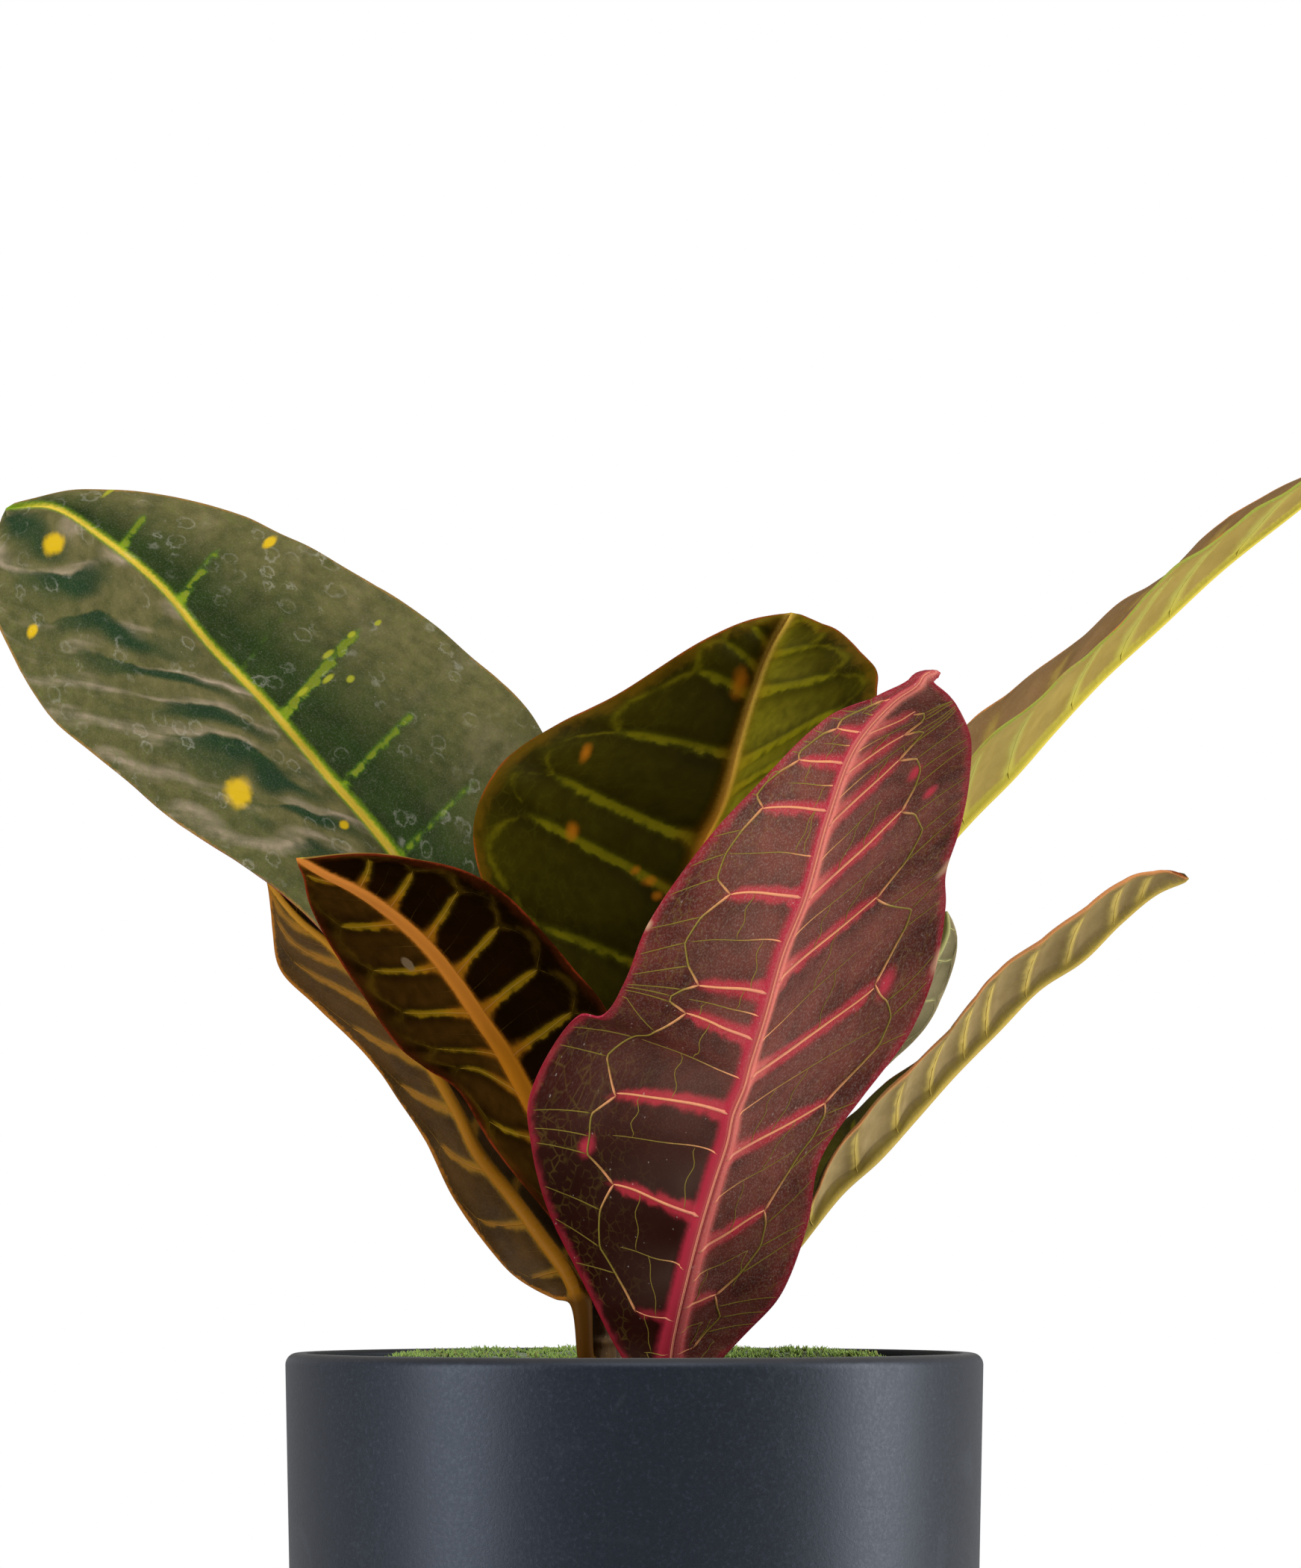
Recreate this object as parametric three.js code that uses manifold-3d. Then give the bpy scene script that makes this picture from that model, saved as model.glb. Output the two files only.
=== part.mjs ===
// A croton in a round pot: pot, soil, a cushion of moss, the stem with its bud, and ten large leaves.
// Millimetres, +Z up. The origin is the middle of the pot's flat underside. The front of the plant is -Y.
import * as THREE from "three";
import { mergeVertices } from "three/addons/utils/BufferGeometryUtils.js";
import Module from "manifold-3d";

const wasm = await Module();
wasm.setup();

// Driving sizes of the pot
const POT = {
  height: 118,
  rimRadius: 65,
  footRadius: 62.5,
  wall: 4.5,
  floor: 8,
  rimRound: 2.2,
  innerRound: 1,
  arcSteps: 4,
  footBevel: 1.5,
  sides: 60,
};

// Clearance between pieces that touch
const GAP = 0.3;

// The soil is low in front of the stem and is banked up behind it
const SOIL = {
  frontLevel: 99,
  bankRise: 12,
  bankFrom: -20,
  bankTo: 40,
  lump: 0.7,
  lumpSize: 6,
  ringShares: [1, 0.86, 0.66, 0.44, 0.22],
  sides: 36,
};

// The moss fills the rear of the pot and stands just above the rim there
const MOSS = {
  frontY: 12,
  endY: 4,
  endX: 57,
  endsFrom: 41,
  scallop: 1.6,
  scallops: 3.5,
  top: 118.6,
  wallDrop: 2.4,
  endDrop: 4.5,
  lump: 0.7,
  lumpSize: 4.5,
  thinnest: 1.4,
  crownWithin: 0.45,
  seat: 0.9,
  alongSteps: 26,
  acrossSteps: 6,
};

// The stem: points of its axis, with the radius there
const STEM = {
  axis: [
    [-6, 1, 86],
    [-5.6, 1, 104],
    [-5.4, 1, 118],
    [-4.7, 1.5, 131],
    [-3.5, 2, 142],
    [-2.2, 2.4, 152],
    [-1.4, 2.6, 161],
  ],
  radii: [4.3, 4.4, 4.3, 4.1, 3.8, 3.4, 2.4],
  sides: 14,
  rings: 18,
  holeClearance: 0.4,
};

// The bud at the top of the stem: three young leaves still folded, each tip with its half width.
// widths are shares of that half width from the root to the tip.
const BUD = {
  rootDrop: 3,
  widths: [0.7, 1, 0.95, 0.7, 0.36, 0.08],
  flatness: 0.55,
  sides: 8,
  tips: [
    { at: [0.6, 0.4, 183], half: 2.4, towards: 0.3 },
    { at: [-3.4, 1.6, 176], half: 1.9, towards: 2.6 },
    { at: [1.2, 4.2, 172], half: 1.5, towards: 4.6 },
  ],
};

// The blades: thickness, how far each half is arched, and the places of the lengthwise edges across it
const BLADE = {
  half: 0.4,
  arch: 0.07,
  across: [-1, -0.7, -0.36, -0.07, 0, 0.07, 0.36, 0.7, 1],
  stepsPerRow: 2,
  stalkHalfWidth: 1.6,
  stalkHalfDepth: 1.5,
  stalkEdge: 0.35,
  stalkLevel: 1.8,
  stalkEase: 0.1,
  ribHeight: 0.9,
  ribTaper: 0.75,
  flattenWithin: 0.06,
  liftWithin: 0.15,
  wave: 0.5,
  waves: 4,
  waveShift: 0.35,
};
const STEP = 1e-3;

// Which side of the drawn surface is the underside, where the midrib stands out
const FACING = 1;
const AWAY = -1;

// Each row runs over the blade along its side veins: one margin, the midrib, the other margin.
// The rows go from the stalk to the tip. leaves is the height on the stem where the stalk begins.
const LEAVES = [
  {
    name: "leaf_front_red",
    colour: "#7c3038",
    underside: FACING,
    leaves: 104,
    stalk: [[2, -8, 107]],
    rows: [
      [[0, -12, 113], [6, -13, 113], [12, -12, 113]],
      [[-4, -13, 120], [7, -17, 120], [21, -14, 122]],
      [[-10, -15, 132], [9, -22, 129], [27, -16, 129]],
      [[-16, -18, 145], [11.8, -27, 140], [32, -19, 142]],
      [[-19, -21, 157], [14.8, -31, 150], [34, -22, 153]],
      [[-19.5, -23, 164], [17, -34, 157], [42, -22, 165]],
      [[-15, -24, 174], [18, -36, 162], [49.5, -22, 175]],
      [[-10, -28, 180], [20, -38, 167], [53, -23, 182]],
      [[-6, -33, 180], [21, -39, 171], [55, -24, 188]],
      [[-2, -34, 186], [23.8, -42, 180], [57, -28, 200]],
      [[3, -36, 197], [27, -45, 191], [57, -33, 206]],
      [[13, -39, 211], [31, -48, 201], [60, -37, 216]],
      [[25, -43, 224], [35, -51, 215], [61, -42, 224]],
      [[36, -48, 234], [40, -53, 228], [61, -46, 230]],
      [[44, -51, 237], [47, -54, 236], [58, -50, 235]],
      [[52, -53, 241], [53, -53, 241], [54, -53, 241]],
    ],
  },
  {
    name: "leaf_left_green",
    colour: "#4a4f2c",
    underside: AWAY,
    leaves: 147,
    stalk: [],
    rows: [
      [[-11, 8, 152], [-9, 9, 154], [-7, 10, 155]],
      [[-19, 7, 161], [-14, 11, 166], [-7, 13, 173]],
      [[-29, 5, 170], [-21, 13, 177], [-7, 16, 191]],
      [[-41, 4, 179], [-30, 15, 190], [-9, 19, 210]],
      [[-53, 4, 191], [-39, 18, 202.5], [-14, 21, 227]],
      [[-63, 5, 201], [-49.3, 21, 216.2], [-20, 24, 239]],
      [[-74, 8, 209], [-59.5, 24, 228], [-31, 27, 250]],
      [[-87, 11, 218], [-70.5, 27, 241], [-45, 30, 261]],
      [[-99, 14, 228], [-81.2, 30, 252.2], [-62, 33, 271]],
      [[-110, 18, 237], [-91.6, 33, 264.6], [-76, 36, 278]],
      [[-118, 23, 249], [-103, 35, 274], [-94, 38, 282.5]],
      [[-124, 29, 263], [-112, 36, 279.5], [-108, 38, 283]],
      [[-122, 35, 278], [-121, 36, 279.5], [-120, 36, 280.5]],
    ],
  },
  {
    name: "leaf_back_olive",
    colour: "#3d3d14",
    underside: AWAY,
    leaves: 151,
    stalk: [],
    rows: [
      [[0, 9, 157], [2, 9.5, 157], [4, 9, 158]],
      [[-4, 9, 165], [3, 11, 166], [10, 9, 170]],
      [[-9, 9, 175], [3, 13, 176], [20, 8, 184]],
      [[-16, 9, 186], [5, 15, 187], [29, 8, 198]],
      [[-25, 9, 198], [8, 18, 198], [38, 10, 212]],
      [[-30, 10, 211], [11, 21, 207], [44, 13, 225]],
      [[-30, 11, 219], [13, 23, 214], [46, 15, 236]],
      [[-25, 13, 229], [16, 25, 220], [46, 18, 242]],
      [[-16, 16, 236], [18, 27, 226], [46, 21, 247]],
      [[-3, 20, 243], [20, 29, 234], [43, 24, 251]],
      [[13, 25, 252], [23, 31, 244], [39, 27, 255]],
      [[21, 29, 257], [26, 32, 252], [35, 30, 257]],
      [[29, 32, 259], [30, 32, 259], [31, 32, 259]],
    ],
  },
  {
    name: "leaf_left_dark",
    colour: "#3a2414",
    underside: FACING,
    leaves: 130,
    stalk: [],
    rows: [
      [[-9, -6, 136], [-7, -6.5, 137], [-5, -6, 138]],
      [[-12, -6.5, 139], [-9, -9, 146], [-2, -5, 150]],
      [[-18, -6, 146], [-14, -11, 156], [-1, -4, 163]],
      [[-26, -6, 156], [-19, -13, 164], [-2, -4, 174]],
      [[-33, -7, 167], [-24.3, -15, 173.7], [-6, -4, 183]],
      [[-39, -9, 171], [-27.9, -17, 179], [-11, -6, 189]],
      [[-44, -11, 175], [-32.8, -19, 186.2], [-17, -9, 196]],
      [[-50, -14, 184], [-38.2, -21, 192.9], [-24, -12, 203]],
      [[-56, -17, 193], [-45, -23, 199], [-31, -16, 207]],
      [[-60, -21, 201], [-51, -25, 203], [-40, -20, 209]],
      [[-61, -24, 206], [-57, -26, 206], [-49, -24, 210]],
      [[-62, -26, 208], [-62, -26, 209], [-61, -26, 209]],
    ],
  },
  {
    name: "leaf_left_low",
    colour: "#5c4c30",
    underside: FACING,
    leaves: 120,
    stalk: [],
    rows: [
      [[-12, -4, 127], [-10, -4.5, 127], [-8, -4.5, 128]],
      [[-15, 0, 128], [-12, -4, 132], [-9.5, -1.5, 133]],
      [[-21, 3, 131], [-16, -1, 139], [-11, 5, 143]],
      [[-27, 6, 137], [-21.8, 2, 147.7], [-15, 10, 153]],
      [[-34, 7, 147], [-28.4, 3, 155.5], [-19, 12, 163]],
      [[-39, 8, 157], [-33, 4, 162.6], [-24, 14, 171]],
      [[-45, 9, 166], [-38, 5, 171], [-29, 16, 179]],
      [[-52, 11, 175], [-45, 7, 179], [-35, 18, 188]],
      [[-60, 13, 183], [-51, 9, 187], [-43, 20, 196]],
      [[-67, 15, 190], [-57, 11, 194], [-50, 21, 203]],
      [[-68.5, 16, 198], [-63, 13, 199], [-57, 20, 209]],
      [[-69.5, 16, 207], [-68, 15, 205], [-64, 18, 211]],
      [[-71, 16, 211], [-71, 16, 211], [-70, 16, 212]],
    ],
  },
  {
    name: "leaf_right_long",
    colour: "#a08a48",
    underside: AWAY,
    leaves: 140,
    stalk: [[5, 2, 142]],
    rows: [
      [[9, 3, 149], [10, 2, 147], [11, 1, 149]],
      [[18, 9, 168], [19, 3, 160], [22, -4, 165]],
      [[30, 15, 191], [31, 4, 176.5], [35, -8, 186]],
      [[42, 20, 214], [44, 5, 195.5], [49, -10, 208]],
      [[53, 22, 228], [55, 6, 209.5], [59, -10, 223]],
      [[64, 23, 238], [63, 7, 218.5], [67, -9, 232]],
      [[74, 24, 245], [71, 8, 226.5], [76, -8, 240]],
      [[84, 24, 252], [79, 9, 235.5], [84, -6, 248]],
      [[95, 23, 261], [88, 10, 245], [94, -4, 257]],
      [[105, 22, 269], [99, 11, 255], [104, -1, 266]],
      [[115, 20, 277], [111, 12, 266], [114, 3, 274]],
      [[127, 18, 285], [125, 13, 277], [126, 7, 282]],
      [[135, 16, 288], [135, 14, 285], [134, 11, 287]],
      [[141, 14, 290], [141, 14, 289], [141, 13, 289]],
    ],
  },
  {
    name: "leaf_right_low",
    colour: "#8a7440",
    underside: AWAY,
    leaves: 113,
    stalk: [[6, 0, 115]],
    rows: [
      [[12, 0, 120], [13, -1, 119], [14, -2, 120]],
      [[19, 5, 132], [20, -1, 127], [22, -6, 131]],
      [[27, 8, 146], [29, -1, 137], [31, -9, 142]],
      [[34, 9, 157], [38, -2, 148.2], [37, -11, 155]],
      [[42, 9, 164], [45, -3, 154.5], [45, -12, 163]],
      [[51, 9, 170], [52, -4, 162.2], [53, -13, 172]],
      [[58, 8, 176], [59, -5, 170], [59, -14, 179]],
      [[65, 6, 182], [67, -6, 178], [66, -15, 187]],
      [[73, 4, 190], [75, -7, 186], [75, -15, 193.3]],
      [[82, 2, 198], [83, -8, 191.2], [84, -15, 200]],
      [[91, -2, 203], [90, -9, 198], [91, -14, 205]],
      [[97, -6, 206], [97, -10, 203.6], [98, -12, 207]],
      [[103, -9, 207], [103, -10, 206], [103, -11, 206]],
    ],
  },
  {
    name: "leaf_right_small",
    colour: "#6a6a48",
    underside: FACING,
    leaves: 131,
    stalk: [[5, 2.5, 133]],
    rows: [
      [[9, 3, 138], [10, 3, 137], [11, 3, 136]],
      [[13, 9, 147], [17, 6, 144], [20, 8, 141]],
      [[21, 13, 157], [25, 9, 153], [29, 12, 150]],
      [[30, 17, 169], [34, 12, 164], [37, 15, 161]],
      [[38, 19, 179], [42, 14, 173], [47, 18, 171]],
      [[47, 20, 189], [50, 15, 183], [55, 19, 179]],
      [[53, 20, 196], [56, 16, 191], [59, 19, 187]],
      [[57, 18, 199], [59, 16, 197], [61, 17, 195]],
      [[58, 16, 201], [59, 16, 201], [60, 16, 200]],
    ],
  },
  {
    name: "leaf_rear_left",
    colour: "#4c5224",
    underside: AWAY,
    leaves: 126,
    stalk: [],
    rows: [
      [[-13, 11, 130], [-11, 12, 131], [-9, 12, 132]],
      [[-21, 15, 140], [-17, 19, 143], [-11, 20, 147]],
      [[-32, 22, 151], [-24, 28, 157], [-14, 29, 165]],
      [[-41, 30, 164], [-31, 37, 172], [-19, 38, 182]],
      [[-47, 38, 179], [-37, 44, 186], [-26, 45, 196]],
      [[-50, 45, 192], [-43, 49, 197], [-36, 50, 204]],
      [[-52, 50, 201], [-49, 51, 204], [-46, 52, 207]],
      [[-53, 53, 209], [-53, 53, 210], [-52, 53, 210]],
    ],
  },
  {
    name: "leaf_rear_right",
    colour: "#56401c",
    underside: AWAY,
    leaves: 136,
    stalk: [],
    rows: [
      [[2, 13, 141], [4, 12.5, 141], [6, 12, 140]],
      [[4, 23, 155], [10, 22, 152], [16, 19, 149]],
      [[6, 35, 172], [17, 33, 166], [27, 29, 159]],
      [[12, 46, 188], [24, 44, 181], [36, 39, 172]],
      [[21, 54, 203], [31, 52, 195], [42, 47, 186]],
      [[31, 60, 213], [38, 58, 207], [46, 54, 199]],
      [[40, 63, 218], [43, 62, 215], [47, 60, 211]],
      [[46, 65, 221], [47, 65, 221], [47, 64, 220]],
    ],
  },
];

const vector = ([x, y, z]) => new THREE.Vector3(x, y, z);
const smoothstep = (from, to, value) => THREE.MathUtils.smoothstep(value, from, to);

// The height where pieces inside the pot meet its wall, as a radius: the wall tapers with the outside
function insideRadius(z) {
  const taper = (POT.rimRadius - POT.footRadius) / POT.height;
  return POT.rimRadius - POT.wall - (POT.height - z) * taper;
}

function bufferGeometry(points, triangles) {
  const geometry = new THREE.BufferGeometry().setFromPoints(points);
  geometry.setIndex(triangles);
  return geometry;
}

// A closed skin over rings of equal length, given from bottom to top, each turning left seen from above
function skin(rings) {
  const count = rings[0].length;
  const points = rings.flat();
  const triangles = [];
  const index = (ring, i) => ring * count + (i % count);
  for (let ring = 0; ring + 1 < rings.length; ring++) {
    for (let i = 0; i < count; i++) {
      const [a, b, c, d] = [index(ring, i), index(ring, i + 1), index(ring + 1, i + 1), index(ring + 1, i)];
      triangles.push(a, b, c, a, c, d);
    }
  }
  for (const [ring, turn] of [[0, -1], [rings.length - 1, 1]]) {
    const middle = points.length;
    const sum = rings[ring].reduce((total, p) => total.add(p), new THREE.Vector3());
    points.push(sum.divideScalar(count));
    for (let i = 0; i < count; i++) {
      const edge = [index(ring, i), index(ring, i + 1)];
      triangles.push(middle, ...(turn > 0 ? edge : edge.reverse()));
    }
  }
  return bufferGeometry(points, triangles);
}

// A closed slab between an upper and a lower sheet, both grids of rows by columns split the same way
function slab(upper, lower) {
  const rows = upper.length;
  const columns = upper[0].length;
  const points = [...upper.flat(), ...lower.flat()];
  const top = (i, j) => i * columns + j;
  const bottom = (i, j) => (rows + i) * columns + j;
  const triangles = [];
  for (let i = 0; i + 1 < rows; i++) {
    for (let j = 0; j + 1 < columns; j++) {
      triangles.push(top(i, j), top(i, j + 1), top(i + 1, j + 1));
      triangles.push(top(i, j), top(i + 1, j + 1), top(i + 1, j));
      triangles.push(bottom(i, j), bottom(i + 1, j + 1), bottom(i, j + 1));
      triangles.push(bottom(i, j), bottom(i + 1, j), bottom(i + 1, j + 1));
    }
  }
  const edge = [];
  for (let j = 0; j + 1 < columns; j++) edge.push([0, j, 0, j + 1]);
  for (let i = 0; i + 1 < rows; i++) edge.push([i, columns - 1, i + 1, columns - 1]);
  for (let j = columns - 1; j > 0; j--) edge.push([rows - 1, j, rows - 1, j - 1]);
  for (let i = rows - 1; i > 0; i--) edge.push([i, 0, i - 1, 0]);
  for (const [i, j, k, l] of edge) {
    triangles.push(bottom(i, j), bottom(k, l), top(k, l), bottom(i, j), top(k, l), top(i, j));
  }
  return bufferGeometry(points, triangles);
}

function solid(geometry) {
  const bare = geometry.clone();
  bare.deleteAttribute("normal");
  bare.deleteAttribute("uv");
  const merged = mergeVertices(bare, 1e-4);
  return new wasm.Manifold(
    new wasm.Mesh({
      numProp: 3,
      vertProperties: merged.attributes.position.array,
      triVerts: new Uint32Array(merged.index.array),
    }),
  );
}

function fromSolid(shape) {
  const mesh = shape.getMesh();
  const geometry = new THREE.BufferGeometry();
  geometry.setAttribute("position", new THREE.BufferAttribute(mesh.vertProperties, mesh.numProp));
  geometry.setIndex(new THREE.BufferAttribute(mesh.triVerts, 1));
  return geometry;
}

// The pot is turned: outside wall, rounded rim, inside wall and floor in one profile
function potGeometry() {
  const { height, rimRadius, footRadius, wall, floor, rimRound, innerRound, footBevel } = POT;
  const profile = new THREE.Path();
  profile.moveTo(0, 0);
  profile.lineTo(footRadius - footBevel, 0);
  profile.lineTo(footRadius, footBevel);
  profile.lineTo(rimRadius, height - rimRound);
  profile.absarc(rimRadius - rimRound, height - rimRound, rimRound, 0, Math.PI / 2);
  const innerCentre = [rimRadius - wall + innerRound, height - innerRound];
  profile.absarc(...innerCentre, innerRound, Math.PI / 2, Math.PI);
  profile.lineTo(insideRadius(floor), floor);
  profile.lineTo(0, floor);
  const geometry = new THREE.LatheGeometry(profile.getPoints(POT.arcSteps), POT.sides);
  return geometry.rotateX(Math.PI / 2);
}

// Low rounded lumps on a surface
function lumps(x, y, { lump, lumpSize }) {
  return lump * Math.sin(x / lumpSize + 1) * Math.sin(y / lumpSize + 2);
}

function soilTop(x, y) {
  const bank = SOIL.bankRise * smoothstep(SOIL.bankFrom, SOIL.bankTo, y);
  return SOIL.frontLevel + bank + lumps(x, y, SOIL);
}

// The stem's axis and radius at a height
function stemAt(z) {
  const heights = STEM.axis.map((p) => p[2]);
  let i = 0;
  while (i + 2 < heights.length && z > heights[i + 1]) i++;
  const part = (z - heights[i]) / (heights[i + 1] - heights[i]);
  const centre = vector(STEM.axis[i]).lerp(vector(STEM.axis[i + 1]), part);
  return { centre, radius: THREE.MathUtils.lerp(STEM.radii[i], STEM.radii[i + 1], part) };
}

function ringRound(centre, radius, sides) {
  return Array.from({ length: sides }, (_, i) => {
    const angle = (2 * Math.PI * i) / sides;
    return new THREE.Vector3(Math.cos(angle), Math.sin(angle), 0).multiplyScalar(radius).add(centre);
  });
}

// The soil fills the pot up to its uneven top, with a plain hole that the stem stands in
function soilGeometry() {
  const floor = POT.floor + GAP;
  const edge = (z) => insideRadius(z) - GAP;
  const rings = [ringRound(new THREE.Vector3(0, 0, floor), edge(floor), SOIL.sides)];
  for (const share of SOIL.ringShares) {
    const ring = ringRound(new THREE.Vector3(), edge(SOIL.frontLevel) * share, SOIL.sides);
    ring.forEach((p) => p.setZ(soilTop(p.x, p.y)));
    rings.push(ring);
  }
  const stemFoot = stemAt(STEM.axis[0][2]);
  const hole = [STEM.axis[0][2] - GAP, POT.height].map((z) =>
    ringRound(stemAt(z).centre.setZ(z), stemFoot.radius + STEM.holeClearance, STEM.sides),
  );
  return fromSolid(solid(skin(rings)).subtract(solid(skin(hole))));
}

// The moss lies between a scalloped front edge and the rear wall, on the soil
function mossGeometry() {
  const wall = insideRadius(SOIL.frontLevel + SOIL.bankRise) - 2 * GAP;
  const endAngle = Math.asin(MOSS.endY / wall);
  const upper = [];
  const lower = [];
  for (let i = 0; i <= MOSS.alongSteps; i++) {
    const along = i / MOSS.alongSteps;
    const side = 2 * along - 1;
    const scallop = MOSS.scallop * Math.sin(Math.PI * MOSS.scallops * side) * (1 - side * side);
    const frontY = MOSS.endY + (MOSS.frontY - MOSS.endY) * (1 - side ** 4) + scallop;
    const front = new THREE.Vector2(-MOSS.endX * side, frontY);
    const angle = endAngle + (Math.PI - 2 * endAngle) * along;
    const rear = new THREE.Vector2(wall * Math.cos(angle), wall * Math.sin(angle));
    const topRow = [];
    const lowRow = [];
    for (let j = 0; j <= MOSS.acrossSteps; j++) {
      const across = j / MOSS.acrossSteps;
      const { x, y } = front.clone().lerp(rear, across);
      const ground = soilTop(x, y) + MOSS.seat;
      const crown = Math.sqrt(1 - (1 - Math.min(1, across / MOSS.crownWithin)) ** 2);
      const towardsEnd = smoothstep(MOSS.endsFrom, MOSS.endX, Math.abs(x));
      const drop = MOSS.wallDrop * across ** 6 + MOSS.endDrop * towardsEnd;
      const height = MOSS.top - drop + lumps(x, y, MOSS) - ground;
      topRow.push(new THREE.Vector3(x, y, ground + MOSS.thinnest + (height - MOSS.thinnest) * crown));
      lowRow.push(new THREE.Vector3(x, y, ground));
    }
    upper.push(topRow);
    lower.push(lowRow);
  }
  return slab(upper, lower);
}

// A young leaf is a slim folded spindle from inside the stem's top to its tip
function youngLeaf({ at, half, towards }) {
  const top = STEM.axis.at(-1);
  const root = vector(top).setZ(top[2] - BUD.rootDrop);
  const tip = vector(at);
  const rings = BUD.widths.map((share, i) => {
    const centre = root.clone().lerp(tip, i / (BUD.widths.length - 1));
    return ringRound(new THREE.Vector3(), 1, BUD.sides).map((p) => {
      p.x *= half * share;
      p.y *= BUD.flatness * half * share;
      return p.applyAxisAngle(new THREE.Vector3(0, 0, 1), towards).add(centre);
    });
  });
  return skin(rings);
}

// The stem, standing in the soil, with its bud grown on
function stemGeometry() {
  const [low, high] = [STEM.axis[0][2], STEM.axis.at(-1)[2]];
  const rings = Array.from({ length: STEM.rings }, (_, i) => {
    const { centre, radius } = stemAt(low + ((high - low) * i) / (STEM.rings - 1));
    return ringRound(centre, radius, STEM.sides);
  });
  const bud = BUD.tips.map((leaf) => solid(youngLeaf(leaf)));
  return fromSolid(bud.reduce((whole, leaf) => whole.add(leaf), solid(skin(rings))));
}

// A leaf: its stalk leaves the stem level, then three guide curves carry the margins and the midrib
function leafGeometry({ leaves, stalk, rows, underside }) {
  const blade = rows.map((row) => row.map(vector));
  const across = blade[0][2].clone().sub(blade[0][0]).normalize();
  const { centre, radius } = stemAt(leaves);
  const first = stalk.length ? vector(stalk[0]) : blade[0][1];
  const outwards = first.clone().sub(centre).setZ(0).normalize();
  const start = centre.clone().addScaledVector(outwards, radius + GAP + BLADE.stalkEase);
  const level = start.clone().addScaledVector(outwards, BLADE.stalkLevel);
  const tangent = new THREE.Vector3(0, 0, 1).cross(outwards);
  if (tangent.dot(across) < 0) tangent.negate();
  const stalkRows = [start, level, ...stalk.map(vector)].map((p, i) => {
    const sideways = i < 2 ? tangent : across;
    return [-1, 0, 1].map((side) => p.clone().addScaledVector(sideways, side * BLADE.stalkHalfWidth));
  });
  const all = [...stalkRows, ...blade];
  const curveThrough = (points) => new THREE.CatmullRomCurve3(points, false, "centripetal");
  const guides = [0, 1, 2].map((k) => curveThrough(all.map((row) => row[k])));
  const steps = (all.length - 1) * BLADE.stepsPerRow;
  const bladeStart = stalkRows.length / (all.length - 1);

  const sheet = (t, a) => {
    const [left, rib, right] = guides.map((guide) => guide.getPoint(t));
    const margin = a < 0 ? left : right;
    const reach = margin.distanceTo(rib);
    const lengthwise = guides[1].getTangent(t);
    const face = right.clone().sub(left).cross(lengthwise).normalize();
    const inBlade = smoothstep(bladeStart, bladeStart + BLADE.liftWithin, t);
    const arch = -underside * BLADE.arch * reach * 4 * Math.abs(a) * (1 - Math.abs(a));
    const turns = BLADE.waves * t + (a < 0 ? 0 : BLADE.waveShift);
    const ripple = BLADE.wave * Math.sin(2 * Math.PI * turns) * Math.sin(Math.PI * t) * a * a;
    return rib.clone().lerp(margin, Math.abs(a)).addScaledVector(face, inBlade * (arch + ripple));
  };

  // The direction across one half of the blade, always towards the second margin
  const crosswise = (t, a, side) => {
    const [from, to] = Math.abs(a) < 1 ? [a, a + side * STEP] : [a - side * STEP, a];
    return sheet(t, to).sub(sheet(t, from)).multiplyScalar(side);
  };
  const normalAt = (t, a) => {
    const lengthwise = sheet(Math.min(1, t + STEP), a).sub(sheet(Math.max(0, t - STEP), a));
    const sides = a === 0 ? [-1, 1] : [Math.sign(a)];
    const normals = sides.map((side) => crosswise(t, a, side).cross(lengthwise).normalize());
    return normals.reduce((sum, normal) => sum.add(normal), new THREE.Vector3()).normalize();
  };

  const front = [];
  const behind = [];
  for (let i = 0; i <= steps; i++) {
    const t = i / steps;
    const inBlade = smoothstep(bladeStart, bladeStart + BLADE.flattenWithin, t);
    const taper = 1 - BLADE.ribTaper * t;
    const rowFront = [];
    const rowBehind = [];
    for (const a of BLADE.across) {
      const point = sheet(t, a);
      const normal = normalAt(t, a);
      const round = Math.sqrt(1 - (1 - BLADE.stalkEdge ** 2) * a * a);
      const stalkHalf = BLADE.stalkHalfDepth * round;
      const half = THREE.MathUtils.lerp(stalkHalf, BLADE.half, inBlade);
      const rib = a === 0 ? BLADE.ribHeight * taper * inBlade : 0;
      const [lift, drop] = underside > 0 ? [half + rib, half] : [half, half + rib];
      rowFront.push(point.clone().addScaledVector(normal, lift));
      rowBehind.push(point.clone().addScaledVector(normal, -drop));
    }
    front.push(rowFront);
    behind.push(rowBehind);
  }
  return slab(front, behind);
}

function piece(name, geometry, colour, roughness) {
  const material = new THREE.MeshStandardMaterial({ color: colour, roughness, metalness: 0 });
  const mesh = new THREE.Mesh(geometry, material);
  mesh.name = name;
  return mesh;
}

const croton = new THREE.Group();
croton.add(piece("pot", potGeometry(), "#3b424d", 0.55));
croton.add(piece("soil", soilGeometry(), "#33261b", 0.95));
croton.add(piece("moss", mossGeometry(), "#5f8a3c", 0.95));
croton.add(piece("stem", stemGeometry(), "#6a5428", 0.7));
for (const leaf of LEAVES) {
  croton.add(piece(leaf.name, leafGeometry(leaf), leaf.colour, 0.45));
}

export default croton;
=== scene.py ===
# %% [markdown]
# # A potted croton
#
# Croton (Codiaeum variegatum) is a house plant with thick, leathery leaves. Each has one strong midrib, side
# veins that join in loops near the margin, and panels of blade that swell a little between the veins. Its
# colours lie along the veins: yellow, pink or orange on green or maroon.
#
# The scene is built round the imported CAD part. Every piece is first a formula: leaves, pot, soil, moss and
# stem are grids of points worked out with numpy, and the finish of each is a material made of nodes.

import math
from types import SimpleNamespace

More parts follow.
